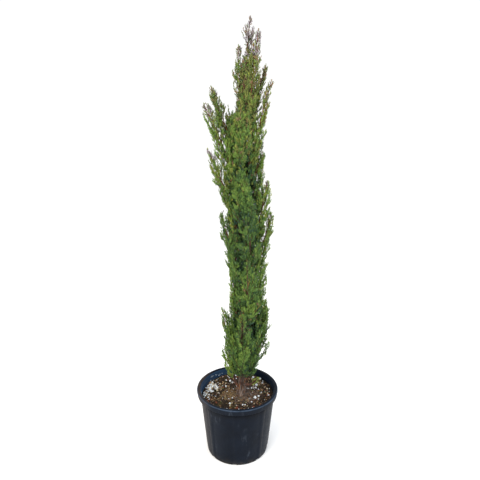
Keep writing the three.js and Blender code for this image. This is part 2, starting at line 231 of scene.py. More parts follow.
# Plumes that stand free: name, side, foot, tip, reach, bow, width, entry
FREE_PLUMES = [
    ("left_crest", 170, 783, 1081, 104, 1.45, 36, 0.18),
    ("left_upper", 191, 694, 1027, 122, 1.65, 40, 0.18),
    ("left_middle", 182, 585, 888, 108, 1.4, 38, 0.18),
    ("left_sprig", 176, 451, 674, 74, 0.9, 38, 0.2),
    ("left_waist", 190, 260, 550, 54, 0.6, 38, 0),
    ("left_low", 178, 129, 335, 84, 0.8, 36, 0.22),
    ("left_spire", 195, 1023, 1194, 28, 0.6, 22, 0),
    ("right_spur", 20, 917, 1142, 62, 0.9, 24, 0.2),
    ("right_upper", -10, 783, 1095, 80, 0.95, 36, 0.18),
    ("right_shoulder", 14, 659, 914, 58, 0.5, 38, 0),
    ("right_middle", -6, 545, 786, 82, 0.7, 38, 0.18),
    ("right_swell", 6, 416, 676, 90, 0.8, 38, 0.18),
    ("right_waist", -8, 248, 516, 58, 0.6, 38, 0),
    ("right_low", 4, 79, 363, 68, 0.6, 42, 0.18),
    ("right_foot", -20, 56, 208, 46, 0.6, 26, 0),
    ("second_leader", -42, 892, 1235, 36, 0.6, 28, 0.25),
    ("low_stem", 198, 32, 278, 60, 0.6, 42, 0.18),
    ("back_low", 100, 65, 327, 62, 0.55, 42, 0),
    ("soil_sprig", -32, 44, 83, 62, 0.6, 15, 0.36),
]

# Plumes slimmer or fuller than their width says: by how much, and from which share of their length
FULLNESS = {
    "left_low": (0.45, 0.6),
    "left_sprig": (0.75, 0.5),
    "left_waist": (0.5, 0.2),
    "left_crest": (1.3, 0.15),
    "left_upper": (1.15, 0.2),
    "left_spire": (0.7, 0.3),
    "leader": (1.25, 0.0),
    "right_upper": (0.7, 0.2),
    "right_low": (1.5, 0.6),
    "right_swell": (1.4, 0.6),
}
FULLNESS_RUN = 0.25

# Room for leaves round the plumes and within the body of the crown
BODY_SPREAD = 0.86
FREE_SPREAD = 0.72
TIP_SPREAD = 8.0
SPREAD_FOOT_RUN = 0.2
SPREAD_FOOT_LEAST = 0.3
SPREAD_FOOT_POWER = 0.6
SPREAD_TIP_END = 1.03
SPREAD_TIP_RUN = 0.55
SPREAD_TIP_POWER = 0.75
BODY_MARGIN = 3.0
BODY_LEAST = 20.0
BODY_SLACK = 1.1
BODY_LOBE_MOST = 1.12
NECK = (985.0, 1035.0)
NECK_RADIUS_SHARE = 0.5
WAIST_HEIGHT = 430.0
WAIST_HALF_HEIGHT = 45.0
WAIST_SHARE = 0.2
INNER_SHARE = 0.5
INNER_GROWTH = 1.5
INNER_SKIP = 0.45
INNER_FILL = 1.8
INNER_FILL_SHARE = 0.9
SOIL_MARGIN = 9.0
TRUNK_MARGIN = 1.5
CLEFT_HEIGHT = 276.0
CLEFT_HALF_HEIGHT = 66.0
CLEFT_HALF_WIDTH = 10.5
CLEFT_SHIFT = -12.0
SEAM_HALF_WIDTH = 2.0
SEAM_SKIP = 0.3
SEAM_FADE = 12.0

# Shoots off the plumes' stems, and the side twigs on them
SHOOTS_FROM = 0.08
SHOOTS_TO = 0.97
SHOOT_SPACING = 9.0
SHOOT_ANGLE = 28.0
SHOOT_TURN_RADIANS = 0.35
SHOOT_LIFT = 0.1
SHOOT_RISE = 0.5
SHOOT_INWARD = 1.35
SHOOT_SPRAY_SPACING = 1.4
LOBES = (0.66, 1.26)
AIRY = (0.4, 0.8)
RED_STEM_FOOT = 400.0
FLAT_FROM = 0.4
FLAT_FACING = 0.7
FLAT_SHARE = 0.6
TWIG_POINTS = 5
TWIG_CUTS = (1.0, 0.8, 0.64, 0.5, 0.38)
TWIG_DRIFT = 0.16
SHOOT_RADIUS = 1.0
SIDE_TWIG_RADIUS = 0.7
TWIG_TIP_RADIUS = 0.4
TWIG_FACETS = 3
SIDE_TWIG_FROM = 0.14
SIDE_TWIG_RUN = 0.76
SIDE_TWIG_SPACING = 13.5
SIDE_TWIG_LENGTH = 26.0
SIDE_TWIG_ANGLE = 33.0
WOODY_ODDS = [0.4, 0.08, 0.52]
GREEN_TWIGS = 0.8

# Shoots off the trunk, through the crown and then in a skirt at its foot: heights, rise, length, room
TRUNK_SHOOTS = [
    (np.arange(70.0, 1166.0, 12.0), 1.33, 46.0, 1.0),
    (np.linspace(72.0, 104.0, 24), 0.3, 36.0, 1.35),
]
TRUNK_SHOOT_ROOM = 0.8
TRUNK_SHOOT_TURN_RADIANS = 0.4

# Sprays: how they stand on a twig, and their cords, with sizes as shares of a spray's length
SPRAY_SPACING = 5.3
SPRAY_LENGTH = 16.0
SPRAY_START = 0.22
SPRAY_ANGLE = 29.0
SPRAY_LIFT = 0.2
SPRAY_ROLL_RADIANS = 0.8
FEATHER_TURN_RADIANS = 0.9
SPRAY_CUTS = (1.0, 0.8, 0.62)
SPRAY_KINDS = 8
SPRAY_SEED = 900
SIDE_CORDS = 5
MIDDLE_CORD_SHARE = 0.054
SIDE_CORD_SHARE = 0.058
KNEE_SHARE = 0.58
KNEE_LEAN_SHARE = 0.55
CORD_LEANS = (20.0, 38.0)
SPRAY_BENDS = (-0.08, 0.16)
SPRAY_SWAYS = (-0.07, 0.07)
THIN = (1150.0, 1220.0)
THIN_SPACING = 0.15
THIN_LOSS = 0.32
AIRY_SPACING = 0.3
AIRY_LEAN = 0.4
TIP_SPRAYS = 9
TIP_SHARE = 0.12
TIP_FAN_SHARE = 0.08
TIP_LEAN_RADIANS = 0.9
LEADER_TIP_SPRAYS = 3
LEADER_TIP_GROWTH = 1.5
PIECE_TRIANGLES = 190000

UP = np.array([0.0, 0.0, 1.0])
# The level way that the photograph looks
FACING = np.array([0.0, 1.0, 0.0])
GOLDEN_TURN = math.pi * (3 - 5**0.5)
rng = np.random.default_rng(TWIG_SEED)


def seeded(seed):
    """A repeatable run of even random numbers, the same as in the part's source."""
    mask = 0xFFFFFFFF
    state = seed & mask

    def draw():
        nonlocal state
        state = (state + 0x6D2B79F5) & mask
        t = state
        t = ((t ^ (t >> 15)) * (t | 1)) & mask
        t = (t ^ (t + (((t ^ (t >> 7)) * (t | 61)) & mask))) & mask
        return (t ^ (t >> 14)) / 4294967296

    return draw


def about(size, low=0.8, high=1.2):
    """A size varied at random."""
    return size * rng.uniform(low, high)


def any_turn():
    return rng.uniform(0, 2 * math.pi)


def either_way(most):
    return rng.uniform(-most, most)


def dealt(odds, count=None):
    """Kinds drawn by their odds."""
    return rng.choice(len(odds), count, p=odds)


def unit(v):
    return v / np.maximum(np.linalg.norm(v, axis=-1, keepdims=True), 1e-9)


def eased(value, low, high):
    """A straight run from 0 at the low value to 1 at the high one."""
    return np.clip((value - low) / (high - low), 0, 1)


def polar(radius, angle, height):
    """Points at a radius and an angle round the vertical."""
    return np.stack(np.broadcast_arrays(radius * np.cos(angle), radius * np.sin(angle), height), -1)


def turns(count):
    """Even angles round a circle."""
    return np.arange(count) * 2 * np.pi / count


def spun(points, angle):
    """Points turned about the vertical."""
    c, s = math.cos(angle), math.sin(angle)
    return points @ np.array([[c, s, 0], [-s, c, 0], [0, 0, 1]])


def turned(vector, axis, angle):
    """A vector turned about an axis."""
    lengthwise = axis * (axis @ vector) * (1 - math.cos(angle))
    return vector * math.cos(angle) + np.cross(axis, vector) * math.sin(angle) + lengthwise


def level_axis(way):
    """A level axis that isn't near the given way."""
    return np.where(np.abs(way[..., :1]) < 0.7, [1.0, 0.0, 0.0], [0.0, 1.0, 0.0])


def square_axes(along, side):
    across = unit(side - along * (side * along).sum(-1, keepdims=True))
    return across, np.cross(along, across)


# The growth rule of the plant
def trunk_at(height):
    t = np.asarray(height, float) / TREE_HEIGHT
    x = TRUNK_LEAN * t + TRUNK_SWAY * np.sin(2 * np.pi * t / TRUNK_WAVE)
    y = TRUNK_SWAY_DEEP * np.sin(2 * np.pi * t / TRUNK_WAVE_DEEP)
    return np.stack([x, y, TREE_HEIGHT * t], -1)


def trunk_radius(height):
    height = np.asarray(height, float)
    taper = np.maximum(0, 1 - height / TREE_HEIGHT) ** TRUNK_TAPER_POWER
    return TRUNK_TIP_RADIUS + TRUNK_RADIUS * taper + FLARE_RADIUS * np.exp(-height / FLARE_HEIGHT)


def flared_radius(height, angle):
    """The trunk's radius with the lobes of its root flare."""
    height = np.maximum(height, 0)
    lobe = FLARE_LOBE_SHARE * np.exp(-height / FLARE_HEIGHT) * np.cos(FLARE_LOBES * angle + 1)
    return trunk_radius(height) * (1 + lobe)


def crown_radius(height):
    height = np.asarray(height, float)
    rise = np.sqrt(eased(height, CROWN_FOOT, CROWN_FULL))
    above = eased(height, CROWN_TAPER, TREE_HEIGHT)
    swell = CROWN_SWELL * np.cos(2 * np.pi * (height - SWELL_HEIGHT) / SWELL_PITCH)
    return (CROWN_RADIUS + swell) * rise * (1 - above) ** CROWN_TAPER_POWER


class Plume:
    """One ascending plume: a stem that leaves the trunk by a short collar and rises beside it."""

    def __init__(self, name, side, foot, tip, reach, bow, width, entry, twist=0.0):
        self.name, self.side, self.twist = name, side, twist
        self.foot, self.tip, self.reach, self.bow = foot, tip, reach, bow
        self.width, self.entry = width, entry
        share, most = (BOUGH_SHARE, BOUGH_RADIUS) if entry > 0 else (STEM_SHARE, STEM_RADIUS)
        self.thick = min(share * float(trunk_radius(foot)), most)
        self.collar = float(trunk_radius(foot)) + self.thick if reach > 0 else 0.0
        self.in_body = name.startswith("body")
        # A plume that stands free in the upper crown shows a red stem between flat rows of shoots
        self.red_stemmed = foot > RED_STEM_FOOT and reach > 0 and not self.in_body
        self.points = self.at(np.linspace(0, 1, LINE_POINTS + 1))
        steps = self.at(np.linspace(0, 1, LENGTH_STEPS + 1))
        self.length = float(np.linalg.norm(np.diff(steps, axis=0), axis=1).sum())

    def at(self, s):
        s = np.asarray(s, float)
        out = self.collar * (1 - np.exp(-s / COLLAR_SHARE)) + (self.reach - self.collar) * s**self.bow
        angle = np.radians(self.side + self.twist * s)
        return trunk_at(self.foot + (self.tip - self.foot) * s) + polar(out, angle, 0.0)

    def tangent(self, s):
        s = np.asarray(s, float)
        before, after = np.maximum(0, s - TANGENT_STEP), np.minimum(1, s + TANGENT_STEP)
        return unit(self.at(after) - self.at(before))

    def radius(self, s):
        return self.thick + (TIP_RADIUS - self.thick) * np.asarray(s, float) ** STEM_TAPER_POWER


def room_beside(plume, others):
    upper = plume.points[COLLAR_POINTS:, None]
    return min(np.linalg.norm(upper - other.points, axis=2).min() for other in others)


def plume_list():
    """Every plume: the free ones, the leader, then each of the body on the side with most room."""
    draw = seeded(SEED)
    plumes = [Plume(*row) for row in FREE_PLUMES]
    plumes.append(Plume("leader", 0, TRUNK_TOP + GAP, TREE_HEIGHT, 0, 1, LEADER_WIDTH, 0))
    for i in range(BODY_PLUMES):
        share = i / (BODY_PLUMES - 1)
        foot = BODY_FIRST_FOOT + (BODY_LAST_FOOT - BODY_FIRST_FOOT) * share
        length = BODY_LONG + (BODY_SHORT - BODY_LONG) * share
        length *= BODY_LENGTH_LEAST + BODY_LENGTH_RANGE * draw()
        tip = min(foot + length, TREE_HEIGHT - BODY_TIP_GAP)
        reach = float(crown_radius(tip)) * (BODY_REACH_LEAST + BODY_REACH_RANGE * draw())
        width = BODY_WIDTH * (1 - BODY_WIDTH_LOSS * share)
        twist = BODY_TWIST * (draw() - 0.5) * 2
        places = []
        for step in range(-BODY_TRIES, BODY_TRIES + 1):
            turn = BODY_SHIFT / BODY_TRIES * step
            side = BODY_START_SIDE + SPIRAL_STEP * i + turn
            plume = Plume(f"body_{i + 1:02d}", side, foot, tip, reach, BODY_BOW, width, 0, twist)
            places.append((room_beside(plume, plumes) - abs(turn) / BODY_TURN_COST, plume))
        plumes.append(max(places, key=lambda place: place[0])[1])
    return plumes


PLUMES = plume_list()
MASSES = ["foliage_" + plume.name for plume in PLUMES]


# Meshes from arrays
BOX_CORNERS = np.array([[x, y, z] for x in (-1, 1) for y in (-1, 1) for z in (-1, 1)], float)
BOX_QUADS = np.array([[0, 1, 3, 2], [4, 6, 7, 5], [0, 4, 5, 1], [2, 3, 7, 6], [0, 2, 6, 4], [1, 5, 7, 3]])
FLIPPED = [0, 3, 2, 1]


def piece(name, verts, faces, materials, slots=None, smooth=True):
    """A mesh object from points in millimetres and faces of one size."""
    mesh = bpy.data.meshes.new(name)
    count, sides = faces.shape
    mesh.vertices.add(len(verts))
    mesh.vertices.foreach_set("co", (np.asarray(verts) * MM).astype(np.float32).ravel())
    mesh.loops.add(count * sides)
    mesh.loops.foreach_set("vertex_index", faces.astype(np.int32).ravel())
    mesh.polygons.add(count)
    mesh.polygons.foreach_set("loop_start", np.arange(0, count * sides, sides, dtype=np.int32))
    for material in materials:
        mesh.materials.append(material)
    if slots is not None:
        mesh.polygons.foreach_set("material_index", np.asarray(slots, np.int32))
    mesh.polygons.foreach_set("use_smooth", np.full(count, smooth))
    mesh.update(calc_edges=True)
    mesh.validate()
    obj = bpy.data.objects.new(name, mesh)
    bpy.context.collection.objects.link(obj)
    return obj


def finish_piece(obj, nodes=()):
    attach(obj, "root")
    if nodes:
        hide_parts(*nodes)


def ring_quads(rings, sides):
    """Four-sided faces between rings of points that follow one another."""
    grid = np.arange(rings * sides).reshape(rings, sides)
    beside = np.roll(grid, -1, axis=1)
    return np.stack([grid[:-1], beside[:-1], beside[1:], grid[1:]], -1).reshape(-1, 4)


def halved(quads):
    """Two triangles from each four-sided face."""
    return np.concatenate([quads[:, [0, 1, 2]], quads[:, [0, 2, 3]]])


def rings_about(points, along, side, radii, sides):
    """Rings of points square to a line, with a radius for each ring or for each point."""
    across, through = square_axes(along, side)
    turn = turns(sides)[:, None]
    ways = across[..., None, :] * np.cos(turn) + through[..., None, :] * np.sin(turn)
    return points[..., None, :] + ways * radii[..., None]


def joined(parts):
    """Several (verts, faces) as one."""
    verts, faces, start = [], [], 0
    for v, f in parts:
        verts.append(v)
        faces.append(f + start)
        start += len(v)
    return np.concatenate(verts), np.concatenate(faces)


def joined_piece(name, parts, materials, kinds=None, nodes=(), smooth=True):
    """One piece of many small shapes, each of one kind of material."""
    slots = None if kinds is None else np.repeat(kinds, [len(faces) for _, faces in parts])
    finish_piece(piece(name, *joined(parts), materials, slots, smooth), nodes)


def tube_piece(name, lines, radii, sides, materials, kinds=None, nodes=()):
    """One piece of many tapered tubes along lines of equal count, each of one kind of material."""
    lines, radii = np.array(lines), np.array(radii)
    count, points, _ = lines.shape
    along = unit(np.gradient(lines, axis=1))
    side = level_axis(unit(along.mean(axis=1)))[:, None]
    verts = rings_about(lines, along, side, radii[..., None], sides)
    cap = np.stack([np.zeros(sides - 2, int), np.arange(1, sides - 1), np.arange(2, sides)], -1)
    one = np.concatenate([halved(ring_quads(points, sides)), cap + (points - 1) * sides, cap[:, [0, 2, 1]]])
    faces = (one[None] + (np.arange(count) * points * sides)[:, None, None]).reshape(-1, 3)
    slots = None if kinds is None else np.repeat(kinds, len(one))
    finish_piece(piece(name, verts.reshape(-1, 3), faces, materials, slots), nodes)


# Materials
def tone(r, g, b):
    """A colour as seen on a screen, from 0 to 255, in linear light."""
    c = np.array([r, g, b]) / 255
    return tuple(np.where(c <= 0.04045, c / 12.92, ((c + 0.055) / 1.055) ** 2.4))


def plain(name, color, roughness, specular):
    material = bpy.data.materials.new(name)
    material.use_nodes = True
    shader = material.node_tree.nodes["Principled BSDF"]
    shader.inputs["Base Color"].default_value = (*color, 1)
    shader.inputs["Roughness"].default_value = roughness
    shader.inputs["Specular IOR Level"].default_value = specular
    material.diffuse_color = (*color, 1)
    return material


class Nodes:
    """Short ways to add nodes to one material. Lengths are in metres."""

    def __init__(self, material):
        self.tree = material.node_tree
        self.place = self.add("TexCoord", "Object", {})

    def feed(self, node, inputs):
        """Sets a node's inputs, or links other nodes' outputs to them."""
        for key, value in inputs.items():
            if isinstance(value, bpy.types.NodeSocket):
                self.tree.links.new(value, node.inputs[key])
            else:
                node.inputs[key].default_value = value

    def add(self, kind, output, inputs, **settings):
        """Adds a node and gives one of its outputs."""
        node = self.tree.nodes.new("ShaderNode" + kind)
        for key, value in settings.items():
            setattr(node, key, value)
        self.feed(node, inputs)
        return node.outputs[output]

    def drawn_out(self, share):
        """The place, with its height scaled so that patterns run upright."""
        return self.add("Mapping", "Vector", {"Vector": self.place, "Scale": (1, 1, share)})

    def noise(self, scale, detail=4.0, rough=0.6, place=None):
        vector = self.place if place is None else place
        inputs = {"Vector": vector, "Scale": scale, "Detail": detail, "Roughness": rough}
        return self.add("TexNoise", "Fac", inputs)

    def cells(self, scale):
        return self.add("TexVoronoi", "Distance", {"Vector": self.place, "Scale": scale})

    def axis(self, name):
        return self.add("SeparateXYZ", name, {"Vector": self.place})

    def span(self, value, low, high, to_low=0.0, to_high=1.0):
        inputs = {"Value": value, "From Min": low, "From Max": high, "To Min": to_low, "To Max": to_high}
        return self.add("MapRange", "Result", inputs)

    def maths(self, how, a, b):
        return self.add("Math", "Value", {0: a, 1: b}, operation=how)

    def times(self, *values):
        product = values[0]
        for value in values[1:]:
            product = self.maths("MULTIPLY", product, value)
        return product

    def radius(self):
        across, deep = self.axis("X"), self.axis("Y")
        squares = self.maths("ADD", self.times(across, across), self.times(deep, deep))
        return self.maths("SQRT", squares, 0.0)

    def ramp(self, value, stops):
        node = self.tree.nodes.new("ShaderNodeValToRGB")
        self.feed(node, {"Fac": value})
        for element, (position, color) in zip(node.color_ramp.elements, (stops[0], stops[-1])):
            element.position = position
            element.color = (*color, 1)
        for position, color in stops[1:-1]:
            node.color_ramp.elements.new(position).color = (*color, 1)
        return node.outputs["Color"]

    def stained(self, base, color, *shares):
        """A colour laid over another, as far as the product of the shares."""
        inputs = {0: self.times(*shares), 6: base, 7: (*color, 1)}
        return self.add("Mix", 2, inputs, data_type="RGBA")

    def surface(self, color, roughness, height, strength, distance):
        """Gives the material its colour, its roughness and a fine relief."""
        bump = self.add("Bump", "Normal", {"Height": height, "Strength": strength, "Distance": distance})
        shader = self.tree.nodes["Principled BSDF"]
        self.feed(shader, {"Base Color": color, "Roughness": roughness, "Normal": bump})


def pot_material(name, inside):
    """Black plastic: scuffed, with a painted warm reflection on the left, painted shade below the band, wear
    and a painted highlight at the rim, dirty at its foot, and painted bluish sky light inside.
    """
    material = plain(name, tone(12, 18, 28), 0.5, 0.08)
    n = Nodes(material)
    height, side = n.axis("Z"), n.axis("X")
    edge, rim, band, mix = MM * RIM_RADIUS, MM * POT_HEIGHT, MM * BAND_FOOT, MM * SOIL_EDGE
    base = n.ramp(n.noise(16, 5), [(0.3, tone(6, 12, 22)), (0.7, tone(12, 20, 32))])
    streaks = n.span(n.noise(44, 5, 0.75, n.drawn_out(0.3)), 0.56, 0.72)
    base = n.stained(base, tone(92, 100, 112), streaks, n.span(n.noise(9, 2), 0.5, 0.64), 0.3)
    # Painted reflection: warm brown on the pot's left edge, in dust-like patches
    painted_reflection_patches = n.span(n.noise(22, 3, 0.6, n.drawn_out(0.2)), 0.25, 0.55)
    base = n.stained(base, tone(112, 94, 80), n.span(side, -0.09, -0.124), painted_reflection_patches, 0.2)
    # Painted shade: the wall darkens just below the rim band's overhang, and is rougher there
    painted_shade_under_band = n.times(n.span(height, band - 0.031, band - 0.003), n.span(height, band + 0.0006, band))
    base = n.stained(base, tone(3, 4, 7), painted_shade_under_band, 0.8)
    # Wear and painted highlight: a lighter bluish line along the rim's outer top edge
    top = n.span(height, rim - 0.0055, rim - 0.0015)
    outermost = n.span(n.radius(), edge - 0.0038, edge - 0.0014)
    wear_and_painted_highlight = n.span(n.noise(40, 3), 0.3, 0.7, 0.15, 0.5)
    base = n.stained(base, tone(88, 106, 130), outermost, top, wear_and_painted_highlight)
    dirt = n.span(n.noise(60, 4), 0.4, 0.7)
    base = n.stained(base, tone(98, 88, 74), n.span(height, 0.03, 0.0), dirt, 0.3)
    if inside:
        # Painted sky light: the inner wall turns bluish, most on the left
        base = n.stained(base, tone(42, 68, 96), n.span(side, 0.08, -0.1, 0.1, 0.75))
        splash = n.span(n.noise(140, 3), 0.54, 0.64)
        base = n.stained(base, tone(96, 84, 70), n.span(height, mix + 0.021, mix + 0.001), splash, 0.45)
    grain = n.span(n.noise(120, 3), 0.3, 0.7, 0.42, 0.58)
    n.surface(base, n.maths("MAXIMUM", grain, painted_shade_under_band), n.noise(700, 2), 0.12, 0.0004)
    return material


def soil_material():
    material = plain("potting_mix", tone(50, 39, 31), 0.95, 0.12)
    n = Nodes(material)
    crumbs = n.noise(240, 5, 0.72)
    browns = [tone(9, 7, 6), tone(31, 25, 20), tone(64, 51, 39), tone(98, 80, 60)]
    base = n.ramp(crumbs, list(zip((0.34, 0.49, 0.63, 0.77), browns)))
    moss = n.span(n.noise(26, 3), 0.5, 0.62)
    base = n.stained(base, tone(84, 82, 40), moss, n.span(n.noise(150, 3), 0.42, 0.62), 0.6)
    roughness = n.span(n.noise(90, 2), 0.3, 0.7, 0.82, 1.0)
    n.surface(base, roughness, n.maths("ADD", crumbs, n.cells(300)), 0.9, 0.003)
    return material


def bark_material(name, dark, middle, light, rust_share=0.4, shade_from=None):
    """Fibrous bark with rusty strips; where a place is given, painted shade low down on the right of it, and
    the rusty strips only on the lit left as painted warm light.
    """
    material = plain(name, middle, 0.9, 0.2)
    n = Nodes(material)
    fibres = n.noise(420, 5, 0.65, n.drawn_out(0.09))
    base = n.ramp(fibres, [(0.32, dark), (0.5, middle), (0.68, light)])
    rust = n.times(n.span(n.noise(130, 3, 0.6, n.drawn_out(0.12)), 0.5, 0.66), rust_share)
    if shade_from is not None:
        side, low = n.axis("X"), n.span(n.axis("Z"), 0.36, 0.3)
        # Painted warm light: the rusty strips, real in themselves, show only on the lit left
        rust = n.times(rust, n.span(side, shade_from + 0.002, shade_from - 0.008))
        # Painted shade: the bark darkens on the right, low down
        base = n.stained(base, dark, n.span(side, shade_from, shade_from + 0.012, 0.0, 0.55), low)
    base = n.stained(base, tone(140, 92, 56), rust)
    n.surface(base, n.span(fibres, 0.3, 0.7, 0.78, 0.98), fibres, 0.7, 0.0012)
    return material


# Speckled kinds of small things: dark and light colour, scale of the grain, roughness
SPECKLED = {
    "grain_white": ((178, 184, 190), (226, 231, 236), 500, 0.85),
    "grain_cream": ((156, 142, 116), (202, 188, 160), 500, 0.9),
    "grain_tan": ((112, 90, 66), (156, 130, 98), 500, 0.9),
    "chip_dark": ((34, 25, 20), (62, 46, 36), 300, 0.9),
    "chip_brown": ((70, 50, 36), (108, 80, 58), 300, 0.9),
    "chip_red": ((92, 46, 32), (132, 72, 50), 300, 0.85),
    "chip_tan": ((128, 102, 74), (168, 140, 106), 300, 0.9),
    "wall_residue": ((112, 130, 150), (178, 190, 204), 300, 0.9),
    "fibre_brown": ((48, 38, 32), (80, 65, 54), 400, 0.95),
    "fibre_grey": ((70, 62, 57), (108, 97, 88), 400, 0.95),
    "fibre_rust": ((84, 57, 40), (118, 82, 56), 400, 0.95),
    "fibre_straw": ((104, 86, 58), (146, 122, 84), 400, 0.95),
    "string_grey": ((94, 83, 78), (134, 119, 111), 400, 0.95),
    "string_brown": ((58, 44, 38), (94, 73, 61), 400, 0.95),
    "string_rust": ((120, 78, 46), (160, 108, 64), 400, 0.95),
    "twig_red": ((78, 46, 38), (112, 68, 50), 500, 0.8),
    "twig_orange": ((136, 86, 44), (172, 116, 60), 500, 0.8),
    # The twigs' colour in shade, dealt at random: painted shade
    "twig_dark": ((62, 42, 40), (92, 64, 58), 500, 0.85),
    "twig_green": ((62, 88, 42), (92, 118, 54), 500, 0.7),
}


def speckled(name):
    dark, light, scale, roughness = SPECKLED[name]
    material = plain(name, tone(*light), roughness, 0.25)
    n = Nodes(material)
    grain = n.noise(scale, 4, 0.65)
    color = n.ramp(grain, [(0.35, tone(*dark)), (0.65, tone(*light))])
    varied = n.span(grain, 0.3, 0.7, max(0.2, roughness - 0.12), min(1.0, roughness + 0.05))
    n.surface(color, varied, grain, 0.5, 0.0006)
    return material


def speckled_kinds(start):
    """The materials of every speckled kind whose name has this start."""
    return [speckled(name) for name in SPECKLED if name.startswith(start)]


# The pot: a turned shell with a rolled rim band, slight ribs and drain notches
def rounded(points):
    """A profile with each corner that has a radius cut to a smooth arc."""
    out = []
    for i, (r, z, radius) in enumerate(points):
        here = np.array([r, z])
        if radius <= 0:
            out.append(here)
            continue
        before, after = np.array(points[i - 1][:2]), np.array(points[i + 1][:2])
        a = here + unit(before - here) * radius
        b = here + unit(after - here) * radius
        for t in np.linspace(0, 1, CORNER_CUTS):
            out.append((1 - t) ** 2 * a + 2 * t * (1 - t) * here + t**2 * b)
    return np.array(out)


def outer_radius(z):
    return BASE_RADIUS + (NECK_RADIUS - BASE_RADIUS) * z / BAND_FOOT


def pot_profile():
    """Radius and height of points along the pot's section, and whether each lies inside."""
    inner = outer_radius(POT_HEIGHT) - WALL
    # Radius, height and size of the rounding of each corner
    corners = [
        (0.0, 0.0, 0),
        (BASE_RADIUS - 0.5, 0.0, 6),
        (outer_radius(FOOT_TOP), FOOT_TOP, 3),
        (outer_radius(WALL_MIDDLE), WALL_MIDDLE, 0),
        (NECK_RADIUS, BAND_FOOT - 1.0, 1.0),
        (NECK_RADIUS + 1.5, BAND_FOOT + 0.6, 0.5),
        (RIM_RADIUS - 2.4, BAND_FOOT, 1.2),
        (RIM_RADIUS - 1.2, BAND_FOOT + 9, 2.0),
        (RIM_RADIUS, POT_HEIGHT - 6, 2.0),
        (RIM_RADIUS - 0.8, POT_HEIGHT - 1.2, 2.4),
        (RIM_RADIUS - 6.5, POT_HEIGHT, 2.0),
        (inner + 2.5, POT_HEIGHT - 0.8, 1.5),
        (inner, POT_HEIGHT - 4.0, 1.5),
        (outer_radius(INSIDE_TOP) - WALL, INSIDE_TOP, 0),
        (outer_radius(FLOOR + 4) - WALL, FLOOR + 4, 0),
        (BASE_RADIUS - WALL, FLOOR, 3),
        (0.0, FLOOR, 0),
    ]
    profile = rounded(corners)
    # The inside starts about two rounded corners past the top of the rim
    last_outside = int(np.argmax(profile[:, 1])) + 2 * (CORNER_CUTS - 1)
    points, inside = [profile[0]], [False]
    for i in range(1, len(profile)):
        run = profile[i] - profile[i - 1]
        steps = max(1, int(np.linalg.norm(run) / POT_STEP))
        for k in range(1, steps + 1):
            points.append(profile[i - 1] + run * k / steps)
            inside.append(i > last_outside)
    return np.array(points), np.array(inside)


def cut_drains(pot):
    box = BOX_CORNERS * np.array([DRAIN_WIDTH, DRAIN_DEPTH, DRAIN_HEIGHT * 2]) / 2
    box[:, 1] -= BASE_RADIUS
    boxes = [(spun(box, angle), BOX_QUADS) for angle in turns(DRAINS) - math.radians(DRAIN_TURN)]
    cutter = piece("drain_cutter", *joined(boxes), [POT_OUTSIDE], smooth=False)
    cut = pot.modifiers.new("drains", "BOOLEAN")
    cut.operation = "DIFFERENCE"
    cut.solver = "EXACT"
    cut.object = cutter
    made = bpy.data.meshes.new_from_object(pot.evaluated_get(bpy.context.evaluated_depsgraph_get()))
    pot.modifiers.clear()
    pot.data = made
    made.name = "pot_shell"
    bpy.data.objects.remove(cutter)
    made.set_sharp_from_angle(angle=math.radians(SHARP_ANGLE))


def build_pot():
    profile, inside = pot_profile()
    turn = turns(POT_SIDES)
    rib = np.zeros(POT_SIDES)
    for k in range(RIBS):
        away = (np.degrees(turn) - (RIB_TURN + 360 / RIBS * k) + 180) % 360 - 180
        rib += np.exp(-((away / RIB_HALF_ANGLE) ** 4))
    height = profile[:, 1:]
    ribbed = (height > RIB_LOW) & (height < RIB_HIGH) & ~inside[:, None]
    verts = polar(profile[:, :1] + ribbed * rib * RIB_DEPTH, turn, height).reshape(-1, 3)
    slots = np.repeat(inside[1:], POT_SIDES)
    faces = ring_quads(len(profile), POT_SIDES)
    pot = piece("pot_shell", verts, faces, [POT_OUTSIDE, POT_INSIDE], slots)
    cut_drains(pot)
    finish_piece(pot, ["pot"])


# The potting mix, with grains, chips, fibres and fallen bits on it
def soil_height(x, y):
    radii = [0, MOUND_FLAT_RADIUS, MOUND_FOOT_RADIUS, MIX_RADIUS]
    heights = [SOIL_TOP, SOIL_TOP, SOIL_EDGE + MOUND_FOOT_RISE, SOIL_EDGE]
    slope = (MIX_RISE_BACK * max(y, 0) + MIX_RISE_RIGHT * x) / MIX_RISE_RUN
    away = math.hypot(x - FOOT[0] - LITTER_SHIFT, y - FOOT[1])
    litter = LITTER_HEIGHT * math.exp(-((away / LITTER_RADIUS) ** 2))
    return float(np.interp(math.hypot(x, y), radii, heights)) + slope + litter - SOIL_SETTLE


def ground_at(x, y):
    """The height of the mix with its bumps."""
    bumps = 0.0
    for pitch, height, layer in MIX_BUMPS:
        bumps += height * noise.noise(Vector((x * pitch, y * pitch, layer)))
    return soil_height(x, y) + bumps


def build_soil():
    edge = outer_radius(SOIL_EDGE) - WALL - GAP
    floor = FLOOR + GAP
    turn = turns(SOIL_SIDES)
    rings = [polar(radius, turn, 0.0) for radius in edge * np.linspace(0.004, 1, SOIL_RINGS)]
    for ring in rings:
        ring[:, 2] = [ground_at(x, y) for x, y in ring[:, :2]]
    rings.append(polar(edge, turn, SOIL_EDGE - SOIL_SKIRT))
    rings.append(polar(outer_radius(floor) - WALL - GAP, turn, floor))
    faces = ring_quads(len(rings), SOIL_SIDES)[:, FLIPPED]
    soil = piece("potting_mix", np.concatenate(rings), faces, [soil_material()])
    finish_piece(soil, ["soil"])


